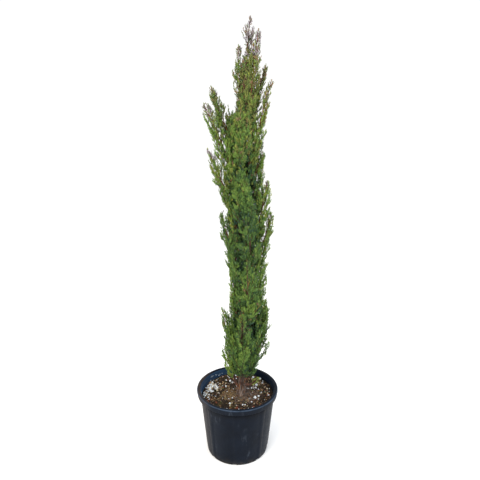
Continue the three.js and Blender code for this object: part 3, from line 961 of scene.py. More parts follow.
def lump():
    """A small ball as points and triangles, from a twenty-sided solid cut once."""
    golden = (1 + 5**0.5) / 2
    pairs = [(a, b) for b in (golden, -golden) for a in (-1, 1)]
    corners = [(a, b, 0) for a, b in pairs] + [(0, a, b) for a, b in pairs] + [(b, 0, a) for a, b in pairs]
    verts = [unit(np.array(corner, float)) for corner in corners]
    near = np.linalg.norm(np.array(verts)[:, None] - np.array(verts)[None], axis=2)
    linked = (near > 0.1) & (near < 1.2)
    faces = []
    for i, j, k in itertools.combinations(range(len(verts)), 3):
        if linked[i, j] and linked[j, k] and linked[i, k]:
            normal = np.cross(verts[j] - verts[i], verts[k] - verts[i])
            faces.append((i, j, k) if normal @ verts[i] > 0 else (i, k, j))
    cut, middle = [], {}
    for i, j, k in faces:
        mids = []
        for a, b in ((i, j), (j, k), (k, i)):
            key = (min(a, b), max(a, b))
            if key not in middle:
                middle[key] = len(verts)
                verts.append(unit(verts[a] + verts[b]))
            mids.append(middle[key])
        m, n, o = mids
        cut += [(i, m, o), (m, j, n), (o, n, k), (m, n, o)]
    return np.array(verts), np.array(cut)


def scatter(count, inner, outer, toward=None, spread=1.0):
    """Places on the mix, even over a ring, or drawn towards one spot."""
    places = []
    while len(places) < count:
        r = math.sqrt(rng.uniform(inner**2, outer**2))
        a = any_turn()
        x, y = r * math.cos(a), r * math.sin(a)
        if math.hypot(x - FOOT[0], y - FOOT[1]) < BARE_RADIUS:
            continue
        if toward is not None:
            pull = math.exp(-(((x - toward[0]) ** 2 + (y - toward[1]) ** 2) / spread**2))
            if rng.uniform() > pull:
                continue
        places.append((x, y))
    return places


def build_grains():
    """White and tan grains, with finer crumbs gathered at the left."""
    verts, faces = lump()
    parts, kinds = [], []
    grains = [place for row in GRAIN_PLACES for place in scatter(*row)]
    crumbs = [place for row in CRUMB_PLACES for place in scatter(*row)]
    for i, (x, y) in enumerate(grains + crumbs):
        crumb = i >= len(grains)
        size = rng.choice(GRAIN_RADII[0], p=GRAIN_RADII[1])
        if crumb:
            size = rng.choice(CRUMB_RADII[0], p=CRUMB_RADII[1])
        size = about(size)
        dents = rng.standard_normal((len(verts), 1)).clip(-GRAIN_DENT_MOST, GRAIN_DENT_MOST)
        shape = verts * (1 + GRAIN_DENT * dents) * rng.uniform(*GRAIN_STRETCH, 3) * size
        at = np.array([x, y, ground_at(x, y) + size * GRAIN_LIFT_SHARE])
        parts.append((spun(shape, any_turn()) + at, faces))
        kinds.append(dealt(CRUMB_ODDS if crumb else GRAIN_ODDS))
    joined_piece("mix_grains", parts, speckled_kinds("grain"), kinds, smooth=False)


def build_chips():
    """Flat chips of bark, each narrower at one end."""
    parts, kinds = [], []
    for x, y in scatter(*CHIP_PLACES):
        size = np.array([rng.uniform(*sizes) for sizes in CHIP_SIZES])
        shape = BOX_CORNERS * size + rng.uniform(-CHIP_CORNER_SHIFT, CHIP_CORNER_SHIFT, BOX_CORNERS.shape)
        shape[BOX_CORNERS[:, 0] > 0, 1] *= rng.uniform(*CHIP_NARROW_ENDS)
        turn, tilt = any_turn(), rng.normal(0, CHIP_TILT_RADIANS)
        c, s = math.cos(tilt), math.sin(tilt)
        shape = spun(shape @ np.array([[c, 0, s], [0, 1, 0], [-s, 0, c]]), turn)
        parts.append((shape + np.array([x, y, ground_at(x, y) + CHIP_LIFT]), BOX_QUADS))
        kinds.append(dealt(CHIP_ODDS))
    joined_piece("mix_chips", parts, speckled_kinds("chip"), kinds, smooth=False)


def build_residue():
    """Short pale streaks that dried mineral has left on the inner wall, on the left and behind."""
    lines, radii = [], []
    for k in range(STREAKS):
        start, span = rng.uniform(*STREAK_ANGLES), rng.uniform(*STREAK_SPANS)
        angle = np.radians(np.linspace(start, start + span, STREAK_POINTS))
        slant = STREAK_SLANT * math.sin(k * 2.1)
        level = SOIL_EDGE + rng.uniform(*STREAK_RISES)
        wander = STREAK_WANDER * rng.standard_normal(STREAK_POINTS)
        height = level + np.linspace(-slant, slant, STREAK_POINTS) + wander
        lines.append(polar(outer_radius(height) - WALL - STREAK_OFF_WALL, angle, height))
        share = rng.normal(1, STREAK_RADIUS_SPREAD, STREAK_POINTS)
        radii.append(STREAK_RADIUS * np.clip(share, *STREAK_RADIUS_SHARES))
    materials = speckled_kinds("wall_residue")
    tube_piece("wall_residue", lines, radii, STREAK_FACETS, materials)


def build_fibres():
    """Dry bark fibre and dead needles, thickest in a mound at the trunk's foot."""
    lines, radii = [], []
    lots = [scatter(*row) for row, _ in FIBRE_LOTS]
    t = np.linspace(-0.5, 0.5, len(FIBRE_TAPER))
    for x, y in sum(lots, []):
        length, a = rng.uniform(*FIBRE_LENGTHS), any_turn()
        bend = rng.normal(0, FIBRE_BEND)
        px = x + length * (t * math.cos(a) - bend * t**2 * math.sin(a))
        py = y + length * (t * math.sin(a) + bend * t**2 * math.cos(a))
        near = math.exp(-((math.hypot(x - FOOT[0], y - FOOT[1]) / FIBRE_HEAP_RADIUS) ** 2))
        lift = rng.uniform(*FIBRE_LIFTS) + near * rng.uniform(0, FIBRE_HEAP_HEIGHT)
        slope = rng.normal(0, FIBRE_SLOPE) * length * t
        pz = np.array([ground_at(u, v) for u, v in zip(px, py)]) + lift + slope
        lines.append(np.stack([px, py, pz], -1))
        radii.append(about(FIBRE_TAPER, 0.6, 1.4))
    kinds = [dealt(odds, len(lot)) for lot, (_, odds) in zip(lots, FIBRE_LOTS)]
    materials, kinds = speckled_kinds("fibre"), np.concatenate(kinds)
    tube_piece("mix_fibres", lines, radii, FIBRE_FACETS, materials, kinds)


# Trunk and boughs with fibrous bark
def bark_relief(angle, height, girth):
    """How far the bark stands out: broad strips, and finer threads between them."""
    x, y = girth * math.cos(angle), girth * math.sin(angle)
    relief = 0.0
    for pitch, rise, (shift_x, shift_y), share in BARK_LAYERS:
        place = Vector((x * pitch + shift_x, y * pitch + shift_y, height * rise))
        relief += share * (1 - BARK_SHARPNESS * abs(noise.noise(place)))
    return relief


def build_trunk():
    fine = np.arange(0, TRUNK_FINE_TOP, TRUNK_FINE_STEP)
    upper = np.arange(TRUNK_FINE_TOP, TRUNK_TOP, TRUNK_STEP)
    heights = np.concatenate([[-TRUNK_SUNK], fine, upper, [TRUNK_TOP]])
    turn = turns(TRUNK_SIDES)
    rings = []
    for h in heights:
        girth = float(trunk_radius(max(h, 0)))
        relief = np.array([bark_relief(a, h, max(BARK_GIRTH, girth)) for a in turn])
        depth = TRUNK_RELIEF + TRUNK_RELIEF_PER_GIRTH * girth
        radius = flared_radius(h, turn) + relief * depth - BARK_SETTLE
        rings.append(trunk_at(h) + polar(radius, turn, 0.0))
    verts = np.concatenate(rings + [trunk_at([TRUNK_TOP + TRUNK_POINT])])
    tip = len(verts) - 1
    last = np.arange(tip - TRUNK_SIDES, tip)
    cap = np.stack([last, np.roll(last, -1), np.full(TRUNK_SIDES, tip)], -1)
    faces = np.concatenate([halved(ring_quads(len(heights), TRUNK_SIDES)), cap])
    finish_piece(piece("trunk_bark", verts + FOOT, faces, [BARK]), ["trunk"])


def build_strings():
    """Loose strings of bark on the lowest part of the trunk."""
    lines, radii = [], []
    t = np.linspace(-1, 1, len(STRING_TAPER))
    for _ in range(STRINGS):
        side, low = any_turn(), rng.uniform(*STRING_FEET)
        h = np.linspace(low, low + rng.uniform(*STRING_LENGTHS), len(STRING_TAPER))
        a = side + rng.normal(0, STRING_TWIST_RADIANS) * t
        lift = rng.uniform(*STRING_LIFTS) * np.sin(np.pi * (0.5 + 0.4 * t)) ** 2
        lines.append(trunk_at(h) + polar(flared_radius(h, a) + lift, a, 0.0) + FOOT)
        radii.append(about(STRING_TAPER, 0.6, 1.2))
    kinds = dealt(STRING_ODDS, STRINGS)
    tube_piece("bark_strings", lines, radii, STRING_FACETS, speckled_kinds("string"), kinds)


def build_boughs():
    parts, names = [], []
    faces = halved(ring_quads(BOUGH_RINGS, BOUGH_SIDES))
    for plume in PLUMES:
        if plume.entry == 0:
            continue
        s = np.linspace(0, plume.entry + BOUGH_OVERLAP, BOUGH_RINGS)
        heights = plume.foot + BOUGH_RELIEF_STEP * np.arange(BOUGH_RINGS)
        relief = [[bark_relief(a, h, BARK_GIRTH) for a in turns(BOUGH_SIDES)] for h in heights]
        radii = plume.radius(s)[:, None] * BOUGH_GROWTH + BOUGH_RELIEF * np.array(relief)
        along = plume.tangent(s)
        verts = rings_about(plume.at(s), along, level_axis(along), radii, BOUGH_SIDES)
        parts.append((verts.reshape(-1, 3) + FOOT, faces))
        names.append("bough_" + plume.name)
    joined_piece("boughs_bark", parts, [STEM_BARK], nodes=names)


# Twigs and sprays of the plumes
def spindle(points, radii):
    """A three-sided cord drawn to a point at both ends, with a ring at each point between."""
    along = unit(points[2:] - points[:-2])
    rings = rings_about(points[1:-1], along, np.array([0.31, 0.83, 0.46]), np.array(radii)[:, None], 3)
    count = len(rings)
    first, last = np.arange(3), np.arange(3) + 3 * (count - 1)
    faces = [
        np.stack([np.roll(first, -1), first, np.full(3, 3 * count)], -1),
        np.stack([last, np.roll(last, -1), np.full(3, 3 * count + 1)], -1),
        halved(ring_quads(count, 3)),
    ]
    return np.concatenate([rings.reshape(-1, 3), points[:1], points[-1:]]), np.concatenate(faces)


def spray_shape(kind):
    """One spray of scale-leaf cords, one unit long: a middle cord feathered on both sides."""
    random = np.random.default_rng(SPRAY_SEED + kind)
    bend = random.uniform(*SPRAY_BENDS)
    sway = random.uniform(*SPRAY_SWAYS)
    z = np.array([0.0, 0.34, 0.76, 1.0])
    middle = np.stack([sway * np.sin(3 * z), bend * z**2, z], -1)
    parts = [spindle(middle, [0.9 * MIDDLE_CORD_SHARE, MIDDLE_CORD_SHARE])]
    for i in range(SIDE_CORDS):
        at = 0.06 + 0.72 * (i + 0.6 * random.uniform()) / SIDE_CORDS
        turn = math.pi * i + random.uniform(-0.8, 0.8)
        lean = math.radians(random.uniform(*CORD_LEANS))
        length = (0.6 - 0.32 * at) * random.uniform(0.8, 1.2)
        out = np.array([math.cos(turn), math.sin(turn), 0.0])
        root = np.array([sway * math.sin(3 * at), bend * at**2, at])
        knee = root + length * KNEE_SHARE * (out * math.sin(lean) + UP * math.cos(lean))
        lean *= KNEE_LEAN_SHARE
        end = knee + length * (1 - KNEE_SHARE) * (out * math.sin(lean) + UP * math.cos(lean))
        parts.append(spindle(np.array([root, knee, end]), [SIDE_CORD_SHARE]))
    return joined(parts)


# A shoot: its plume, its place along it, its room, how light and how open its leaves are
Shoot = namedtuple("Shoot", "own share lobe mood airy")
# A spray: where and how it stands, how far out, how far along its shoot, how clear of other plumes
Spray = namedtuple("Spray", "root along side size outer rise clear shoot")
# What the plumes have grown: lines of shoots and side twigs, with whether each is a side twig, and sprays
Growth = namedtuple("Growth", "lines on_shoot sprays")


def from_trunk(point):
    """The level way from the trunk's axis to a point."""
    centre = trunk_at(min(point[2], TREE_HEIGHT))
    return np.array([point[0] - centre[0], point[1] - centre[1], 0.0])


def off_trunk(point):
    return float(np.linalg.norm(from_trunk(point)))


def in_cleft(point, mood):
    """Whether a point lies in the parting at the front, low down, that lets the trunk show."""
    rise = (point[2] - CLEFT_HEIGHT) / CLEFT_HALF_HEIGHT
    away = from_trunk(point)
    if abs(rise) >= 1 or away[1] > 0:
        return False
    return abs(away[0] - CLEFT_SHIFT) < CLEFT_HALF_WIDTH * math.sqrt(1 - rise**2) * (0.4 + 1.4 * mood)


def body_limit(height):
    """How far the body of the crown stands off the trunk, with a waist and a slim neck below the tip."""
    neck = eased(height, *NECK)
    waist = WAIST_SHARE * np.exp(-(((height - WAIST_HEIGHT) / WAIST_HALF_HEIGHT) ** 2))
    return float(crown_radius(height) * (1 - (1 - NECK_RADIUS_SHARE) * neck) * (1 - waist)) + BODY_MARGIN


def stand_off(plume):
    """How far leaves stand off each point of a plume's stem."""
    s = np.linspace(0, 1, LINE_POINTS + 1)
    share = BODY_SPREAD if plume.in_body else FREE_SPREAD
    foot = np.clip(s / SPREAD_FOOT_RUN, SPREAD_FOOT_LEAST, 1) ** SPREAD_FOOT_POWER
    tip = np.clip((SPREAD_TIP_END - s) / SPREAD_TIP_RUN, 0, 1) ** SPREAD_TIP_POWER
    fullness, start = FULLNESS.get(plume.name, (1.0, 0.0))
    full = 1 + (fullness - 1) * np.clip((s - start) / FULLNESS_RUN, 0, 1)
    return TIP_SPREAD + plume.width * share * foot * tip * full


STAND_OFF = [stand_off(plume) for plume in PLUMES]
STEM_POINTS = np.concatenate([plume.points for plume in PLUMES])
# Shoots off the trunk have this in place of a plume
OFF_TRUNK = len(PLUMES)


def fits(shoot, point):
    """Whether a point is clear of mix and trunk and within its own plume, or fills the body beside it."""
    if point[2] < SOIL_MARGIN:
        return False
    out = off_trunk(point)
    if point[2] < TRUNK_TOP and out < float(trunk_radius(point[2])) + TRUNK_MARGIN:
        return False
    limit = body_limit(point[2])
    if shoot.own == OFF_TRUNK:
        return out < TRUNK_SHOOT_ROOM * limit * shoot.lobe
    plume = PLUMES[shoot.own]
    away = np.linalg.norm(plume.points - point, axis=1)
    near = int(away.argmin())
    room = STAND_OFF[shoot.own][near]
    if plume.in_body:
        in_crown = out <= limit * min(shoot.lobe, BODY_LOBE_MOST)
        return in_crown and away[near] <= BODY_SLACK * room * shoot.lobe
    if out < INNER_FILL_SHARE * limit:
        room *= INNER_FILL
    return away[near] <= room * shoot.lobe


def clearance(own, point):
    """How much nearer a point is to its own plume's stem than to any other's."""
    if own == OFF_TRUNK:
        return 0.0
    away = np.linalg.norm(STEM_POINTS - point, axis=1).reshape(len(PLUMES), -1).min(axis=1)
    return float(np.delete(away, own).min() - away[own])


def bare(shoot, point, clear, outer):
    """Whether a spray is left out: in the parting, or in the seam between two plumes."""
    if in_cleft(point, shoot.mood):
        return True
    seam = shoot.own != OFF_TRUNK and abs(clear) < SEAM_HALF_WIDTH and outer > INNER_SHARE
    return seam and rng.uniform() < SEAM_SKIP


def point_on(line, u):
    """The point at a share of a twig's length, and the way the twig runs there."""
    place = min(u, 0.999) * (len(line) - 1)
    k = int(place)
    step = line[k + 1] - line[k]
    return line[k] + step * (place - k), unit(step)


def feathered(way, point, turn):
    """A way square to a twig, in the plane that faces off the trunk, then turned round the twig."""
    return turned(unit(np.cross(way, from_trunk(point) - FACING)), way, turn)


def leaning(way, out, lean, lift=0.0):
    """A way that leans out by an angle and is lifted a little."""
    return unit(way * math.cos(lean) + out * math.sin(lean) + UP * lift)


def bent_line(shoot, root, start, length):
    """A twig that bends up, cut back to what its room allows, or nothing where there is none."""
    t = np.linspace(0, 1, TWIG_POINTS)[:, None]
    rise = about(SHOOT_RISE, 0.6, 1.3)
    drift = np.cross(start, rng.standard_normal(3)) * TWIG_DRIFT
    whole = length * (start * t + 0.5 * (UP * rise + drift) * t**2)
    for kept in TWIG_CUTS:
        line = root + kept * whole
        if fits(shoot, line[-1]) and fits(shoot, line[TWIG_POINTS // 2]):
            return line
    return None


def dress_twig(growth, shoot, line, low, high, spacing):
    """Sprays along both sides of a twig and one at its end."""
    thin = float(eased(line[0, 2], *THIN))
    length = float(np.linalg.norm(line[-1] - line[0]))
    spacing *= 1 + THIN_SPACING * thin
    spacing *= 1 + AIRY_SPACING * shoot.airy
    count = max(2, int(length / spacing))
    first = rng.integers(2)
    for j in range(count + 1):
        u = SPRAY_START + (1 - SPRAY_START) * j / count
        at, way = point_on(line, u)
        outer = off_trunk(at) / max(BODY_LEAST, body_limit(at[2]))
        size = about(SPRAY_LENGTH * (0.78 + 0.36 * math.sin(math.pi * (0.2 + 0.7 * u))))
        size *= 1 - THIN_LOSS * thin
        if outer < INNER_SHARE and thin == 0:
            if rng.uniform() < INNER_SKIP:
                continue
            size *= INNER_GROWTH
        along = way
        if j < count:
            lean = about(math.radians(SPRAY_ANGLE), 0.7, 1.2) * (1 + AIRY_LEAN * shoot.airy)
            out = feathered(way, at, math.pi * ((j + first) % 2) + either_way(FEATHER_TURN_RADIANS))
            along = leaning(way, out, lean, SPRAY_LIFT)
        for kept in SPRAY_CUTS:
            end = at + along * size * kept
            if fits(shoot, end):
                clear = clearance(shoot.own, end)
                if not bare(shoot, end, clear, outer):
                    side = feathered(along, at, either_way(SPRAY_ROLL_RADIANS))
                    rise = low + (high - low) * u
                    growth.sprays.append(Spray(at, along, side, size * kept, outer, rise, clear, shoot))
                break


def grow_shoot(growth, shoot, root, start, length):
    """One steep shoot with sprays, and short side twigs along it like a feather."""
    line = bent_line(shoot, root, start, length)
    if line is None:
        return
    growth.lines.append(line)
    growth.on_shoot.append(False)
    dress_twig(growth, shoot, line, 0.0, 1.0, SHOOT_SPRAY_SPACING * SPRAY_SPACING)
    count = int(float(np.linalg.norm(line[-1] - line[0])) / SIDE_TWIG_SPACING)
    for k in range(count):
        u = SIDE_TWIG_FROM + SIDE_TWIG_RUN * (k + 0.5) / count
        at, way = point_on(line, u)
        lean = about(math.radians(SIDE_TWIG_ANGLE), 0.8, 1.15)
        out = feathered(way, at, math.pi * (k % 2) + either_way(FEATHER_TURN_RADIANS))
        reach = about(SIDE_TWIG_LENGTH) * (1.2 - 0.5 * u)
        twig = bent_line(shoot, at, leaning(way, out, lean), reach)
        if twig is not None:
            growth.lines.append(twig)
            growth.on_shoot.append(True)
            mood = 0.4 * shoot.mood + 0.6 * rng.uniform()
            dress_twig(growth, shoot._replace(mood=mood), twig, u, u + 0.3, SPRAY_SPACING)


def grow_off_stem(growth, own, i, count):
    """One shoot off a plume's stem, on the side that its turn of the spiral gives."""
    plume = PLUMES[own]
    s = SHOOTS_FROM + (SHOOTS_TO - SHOOTS_FROM) * (i + 0.5) / count
    root, along = plume.at(s), plume.tangent(s)
    outward = from_trunk(root) if plume.reach > 0 else np.array([1.0, 0, 0])
    across, _ = square_axes(along, outward)
    out = turned(across, along, GOLDEN_TURN * i + either_way(SHOOT_TURN_RADIANS))
    faces_view = plume.red_stemmed and s > FLAT_FROM and abs(out @ FACING) > FLAT_FACING
    if faces_view and rng.uniform() < FLAT_SHARE:
        out = turned(out, along, math.pi / 2)
    angle = about(math.radians(SHOOT_ANGLE)) * (1 - 0.2 * s)
    room = float(np.interp(s + 0.05, np.linspace(0, 1, LINE_POINTS + 1), STAND_OFF[own]))
    if out @ across < 0:
        room *= SHOOT_INWARD
    length = about(room, 0.75, 1.1) / math.sin(angle)
    airy = 0.0 if plume.in_body else float(eased(s, *AIRY))
    shoot = Shoot(own, s, rng.uniform(*LOBES), rng.uniform(), airy)
    grow_shoot(growth, shoot, root, leaning(along, out, angle, SHOOT_LIFT), length)


def grow_tip(growth, own):
    """A fan of sprays at the end of a plume."""
    plume = PLUMES[own]
    for k in range(TIP_SPRAYS):
        s = 1 - TIP_SHARE * k / (TIP_SPRAYS - 1)
        root, along = plume.at(s), plume.tangent(s)
        across, _ = square_axes(along, level_axis(along))
        out = turned(across, along, GOLDEN_TURN * k)
        lean = TIP_LEAN_RADIANS * min(1, (1 - s) / TIP_FAN_SHARE)
        longer = LEADER_TIP_GROWTH if plume.reach == 0 and k < LEADER_TIP_SPRAYS else 1
        size = about(SPRAY_LENGTH, 0.6, 0.85) * longer
        shoot = Shoot(own, 1.0, 1.0, 0.6, 1.0)
        growth.sprays.append(Spray(root, leaning(along, out, lean), out, size, 1.0, 1.0, SEAM_FADE, shoot))


def grow_off_trunk(growth, turn, height, rise, length, lobe):
    """One shoot straight from the trunk, on the side that its turn of the spiral gives."""
    side = GOLDEN_TURN * turn + either_way(TRUNK_SHOOT_TURN_RADIANS)
    out = np.array([math.cos(side), math.sin(side), 0.0])
    root = trunk_at(height) + out * float(trunk_radius(height))
    reach = about(length, 0.75, 1.2)
    shoot = Shoot(OFF_TRUNK, 0.5, about(lobe, 0.85, 1.1), 0.3, 0.0)
    grow_shoot(growth, shoot, root, unit(out + UP * rise), reach)


def grow():
    growth = Growth([], [], [])
    for own, plume in enumerate(PLUMES):
        count = int(plume.length * (SHOOTS_TO - SHOOTS_FROM) / SHOOT_SPACING)
        for i in range(count):
            grow_off_stem(growth, own, i, count)
        grow_tip(growth, own)
    for heights, rise, length, lobe in TRUNK_SHOOTS:
        for i, height in enumerate(heights):
            grow_off_trunk(growth, i, height, rise, length, lobe)
    return growth


SPRAYS = [spray_shape(kind) for kind in range(SPRAY_KINDS)]


# Tints of the sprays, three shades each: greens from dark to light, dealt in part as painted light and
# shade, then the others
GREENS = {
    "deep": [(48, 76, 57), (54, 82, 58), (44, 70, 55)],
    "shade": [(67, 95, 52), (73, 101, 53), (61, 90, 52)],
    "green": [(86, 117, 54), (93, 123, 56), (80, 112, 55)],
    "leaf": [(105, 134, 57), (112, 139, 60), (98, 130, 58)],
    "fresh": [(122, 149, 63), (130, 154, 67), (115, 144, 64)],
}
OTHERS = {
    "yellow": [(136, 148, 64), (144, 152, 68), (130, 144, 66)],
    "olive": [(114, 122, 60), (122, 128, 64), (106, 118, 62)],
    "bronze": [(130, 110, 78), (136, 108, 82), (120, 106, 78)],
    "dusk": [(142, 130, 136), (152, 138, 142), (132, 121, 130)],
    "dry": [(120, 92, 60), (132, 100, 64), (104, 80, 58)],
}
TINTS = {**GREENS, **OTHERS}
SHADES = 3
TINT_SEED = 5
# How warm some plumes are, and how much lighter or darker
WARM_PLUMES = {
    "right_upper": 0.4,
    "left_middle": 0.4,
    "body_12": 0.25,
    "right_middle": 0.25,
    "right_swell": 0.3,
    "right_shoulder": 0.15,
    "right_spur": 0.3,
    "second_leader": 0.3,
    "left_upper": 0.16,
    "right_low": 0.1,
    "soil_sprig": 0.6,
}
PLUME_TONE = {
    "body_09": -0.14,
    "body_07": -0.1,
    "body_06": -0.06,
    "body_02": -0.06,
    "body_01": -0.06,
    "left_waist": 0.08,
    "low_stem": 0.12,
    "left_upper": 0.06,
}
# Shoots off the trunk fill the crown's inside, and their darker tints are painted shade
TRUNK_SHOOT_TONE = -0.1
BASE_LIGHT = 0.43
PATCH_SIZE = np.array([34.0, 34.0, 120.0])
PATCH_CHANGE = 0.18
# Heights over which the crown turns browner
UPPER = (760.0, 1060.0)
CREST = (970.0, 1090.0)
TOP = (1150.0, 1250.0)
# Heights and shares of their length over which red-stemmed plumes turn dusky
DUSKY_HEIGHT = (640.0, 840.0)
DUSKY_SHARE = (0.8, 0.9)


def columns(rows):
    """A list of records as one record of arrays."""
    return type(rows[0])(*(np.array(values) for values in zip(*rows)))


def deal_tints(sprays, draw):
    """The tint of each spray: lighter outside and darker in the seams between plumes as painted light and
    shade, lighter towards shoot tips, on light shoots and in light patches, browner at the top.
    """
    grown = columns(sprays)
    shoot = columns([spray.shoot for spray in sprays])
    height = grown.root[:, 2] + grown.along[:, 2] * grown.size
    outer = np.clip(grown.outer, 0, 1.2)
    clear = np.clip(grown.clear / SEAM_FADE, -1, 1)
    warm = np.array([WARM_PLUMES.get(plume.name, 0.0) for plume in PLUMES] + [0.0])[shoot.own]
    tones = [PLUME_TONE.get(plume.name, 0.0) for plume in PLUMES] + [TRUNK_SHOOT_TONE]
    red = np.array([plume.red_stemmed for plume in PLUMES] + [False])[shoot.own]
    patch = np.array([noise.noise(Vector(point / PATCH_SIZE)) for point in grown.root])
    chance = draw.uniform(size=len(sprays))
    # Painted light and shade: sprays lighter further out from the trunk and darker in the seams between
    # plumes; shoot tips, light shoots, patches, plume tones and warmth add given and random tone
    light = BASE_LIGHT + 0.4 * (outer - 0.6) + 0.3 * (shoot.mood - 0.5) + 0.16 * (grown.rise - 0.5)
    light += 0.07 * clear + np.array(tones)[shoot.own] + PATCH_CHANGE * patch + 0.25 * warm
    light += 0.14 * draw.standard_normal(len(sprays))
    upper, crest, top = eased(height, *UPPER), eased(height, *CREST), eased(height, *TOP)
    ends = red * eased(shoot.share, *DUSKY_SHARE) * eased(height, *DUSKY_HEIGHT)
    tint = np.clip((light - 0.12 * crest) * len(GREENS), 0, len(GREENS) - 1).astype(int)
    odds = {
        "yellow": 0.8 * warm * np.clip(2 * shoot.mood - 0.3, 0, 1) * (1 - top),
        "olive": (0.3 * warm + 0.2 * upper * (0.4 + 1.2 * shoot.mood) + 0.3 * crest) * (1 - 0.8 * top),
        "bronze": 0.002 + 0.05 * upper + 0.1 * crest + 0.1 * top,
        "dusk": 0.66 * top + 0.6 * ends,
        "dry": np.where(outer < 0.7, 0.02, 0.002),
    }
    floor = np.zeros(len(sprays))
    for index, name in enumerate(OTHERS):
        tint[(chance >= floor) & (chance < floor + odds[name])] = len(GREENS) + index
        floor += odds[name]
    return tint


def build_leaves(sprays, draw):
    """The sprays as meshes, joined by tint into pieces of a limited size."""
    tint = deal_tints(sprays, draw)
    kind = draw.integers(0, SPRAY_KINDS, len(sprays))
    shade = draw.integers(0, SHADES, len(sprays))
    grown = columns(sprays)
    across, through = square_axes(grown.along, grown.side)
    axes = np.stack([across, through, grown.along], 1)
    most = PIECE_TRIANGLES // max(len(faces) for _, faces in SPRAYS)
    for index, (name, shades) in enumerate(TINTS.items()):
        materials = [plain(f"leaf_{name}_{k}", tone(*rgb), 0.55, 0.28) for k, rgb in enumerate(shades, 1)]
        chosen = np.flatnonzero(tint == index)
        groups = math.ceil(len(chosen) / most)
        for g in range(groups):
            picked = chosen[g::groups]
            parts = []
            for i in picked:
                verts, faces = SPRAYS[kind[i]]
                parts.append((grown.root[i] + FOOT + (verts * grown.size[i]) @ axes[i], faces))
            label = f"leaves_{name}" if groups == 1 else f"leaves_{name}_{g + 1}"
            joined_piece(label, parts, materials, shade[picked], MASSES)


def build_twigs(growth, draw):
    """Every twig: woody ones in red, orange and a dark brown that is painted shade, and most side twigs
    green.
    """
    on_shoot = np.array(growth.on_shoot)
    woody = draw.choice(len(WOODY_ODDS), len(on_shoot), p=WOODY_ODDS)
    green = on_shoot & (draw.uniform(size=len(on_shoot)) < GREEN_TWIGS)
    kinds = np.where(green, len(WOODY_ODDS), woody)
    lines = np.array(growth.lines) + FOOT
    thick = np.where(on_shoot, SIDE_TWIG_RADIUS, SHOOT_RADIUS)
    radii = np.linspace(thick, TWIG_TIP_RADIUS, TWIG_POINTS, axis=-1)
    tube_piece("twigs", lines, radii, TWIG_FACETS, speckled_kinds("twig"), kinds, MASSES)


def build_stems():
    """The stem of every plume, from the end of its bough or from the trunk."""
    lines, radii = [], []
    for plume in PLUMES:
        s = np.linspace(plume.entry, 1, LINE_POINTS)
        lines.append(plume.at(s) + FOOT)
        radii.append(plume.radius(s))
    kinds = [int(plume.red_stemmed) for plume in PLUMES]
    tube_piece("plume_stems", lines, radii, STEM_SIDES, [STEM_BARK, STEM_RED], kinds, MASSES)


def build_foliage():
    growth = grow()
    draw = np.random.default_rng(TINT_SEED)
    build_leaves(growth.sprays, draw)
    build_twigs(growth, draw)
    build_stems()


def build_fallen():
    """A few small sprays that have dropped on the mix."""
    parts = []
    for x, y in scatter(*FALLEN_PLACES):
        verts, faces = SPRAYS[rng.integers(SPRAY_KINDS)]
        a = any_turn()
        along = unit(np.array([math.cos(a), math.sin(a), 0.12]))
        across, through = square_axes(along, UP)
        size = rng.uniform(*FALLEN_LENGTHS)
        root = np.array([x, y, ground_at(x, y) + 1.5])
        parts.append((root + (verts * size) @ np.stack([across, through, along]), faces))
    joined_piece("fallen_sprays", parts, [plain("leaf_fallen", tone(118, 138, 62), 0.6, 0.25)])


POT_OUTSIDE = pot_material("pot_plastic", False)
POT_INSIDE = pot_material("pot_plastic_inside", True)
BARK = bark_material("bark", tone(52, 45, 42), tone(112, 96, 87), tone(158, 141, 127), 0.9, MM * FOOT[0])
STEM_BARK = bark_material("stem_bark", tone(40, 29, 30), tone(72, 50, 46), tone(108, 78, 62))
STEM_RED = bark_material("stem_red", tone(70, 42, 36), tone(112, 66, 48), tone(142, 92, 62))

build_pot()
build_soil()
build_grains()
build_chips()
build_residue()
build_fibres()
build_trunk()
build_strings()
build_boughs()
build_foliage()
build_fallen()


# Floor, light and camera, in metres except for the floor's radii and the camera's lens and sensor
FLOOR_SIDES = 64
FLOOR_RADII = (4000.0, 40000.0)
FLOOR_WHITE = (0.97, 0.97, 0.97)
SKY_STRENGTH = 1.06
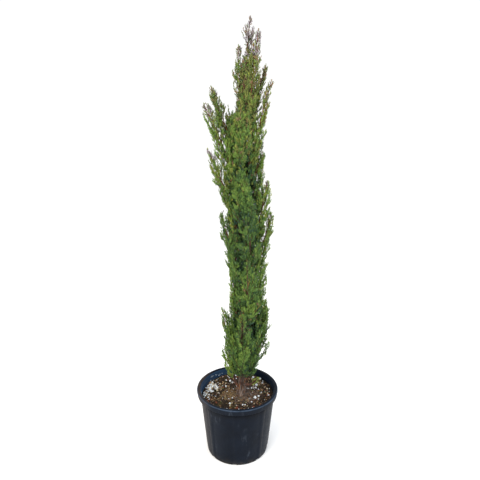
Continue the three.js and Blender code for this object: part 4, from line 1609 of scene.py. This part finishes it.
# Lamps: name, place, target, width, power, colour
LAMPS = [
    ("key", (-1.6, -2.4, 3.2), (0, 0, 0.8), 2.2, 120, (1.0, 0.95, 0.86)),
    ("fill", (2.4, -1.6, 2.0), (0, 0, 0.7), 2.4, 50, (0.82, 0.91, 1.0)),
]
CAMERA_PLACE = (0.010, -1.5294, 1.233)
CAMERA_DOWN = 15.21
CAMERA_LENS = 34.935
CAMERA_SENSOR = 36.0
CAMERA_FAR = 200.0


def add_floor():
    turn = turns(FLOOR_SIDES)
    verts = np.concatenate([[[0.0, 0.0, 0.0]]] + [polar(radius, turn, 0.0) for radius in FLOOR_RADII])
    inner = 1 + np.arange(FLOOR_SIDES)
    fan = np.stack([np.zeros(FLOOR_SIDES, int), inner, np.roll(inner, -1)], -1)
    outer = halved(ring_quads(len(FLOOR_RADII), FLOOR_SIDES)[:, FLIPPED]) + 1
    white = plain("studio_floor", FLOOR_WHITE, 0.9, 0.1)
    floor = piece("studio_floor", verts, np.concatenate([fan, outer]), [white])


def add_lamp(name, place, target, width, energy, color):
    light = bpy.data.lights.new(name, "AREA")
    light.shape = "DISK"
    light.size = width
    light.energy = energy
    light.color = color
    obj = bpy.data.objects.new(name, light)
    bpy.context.collection.objects.link(obj)
    obj.location = place
    obj.rotation_euler = (Vector(target) - Vector(place)).to_track_quat("-Z", "Y").to_euler()


def add_sky():
    world = bpy.data.worlds.new("studio")
    bpy.context.scene.world = world
    world.use_nodes = True
    sky = world.node_tree.nodes["Background"]
    sky.inputs["Color"].default_value = (1.0, 1.0, 1.0, 1)
    sky.inputs["Strength"].default_value = SKY_STRENGTH


def add_camera():
    camera = bpy.data.cameras.new("camera")
    camera.sensor_width = CAMERA_SENSOR
    camera.sensor_fit = "HORIZONTAL"
    camera.lens = CAMERA_LENS
    camera.clip_end = CAMERA_FAR
    view = bpy.data.objects.new("camera", camera)
    bpy.context.collection.objects.link(view)
    view.location = CAMERA_PLACE
    view.rotation_euler = (math.radians(90 - CAMERA_DOWN), 0, 0)
    bpy.context.scene.camera = view
    bpy.context.scene.view_settings.view_transform = "Standard"


add_floor()
add_sky()
for row in LAMPS:
    add_lamp(*row)
add_camera()
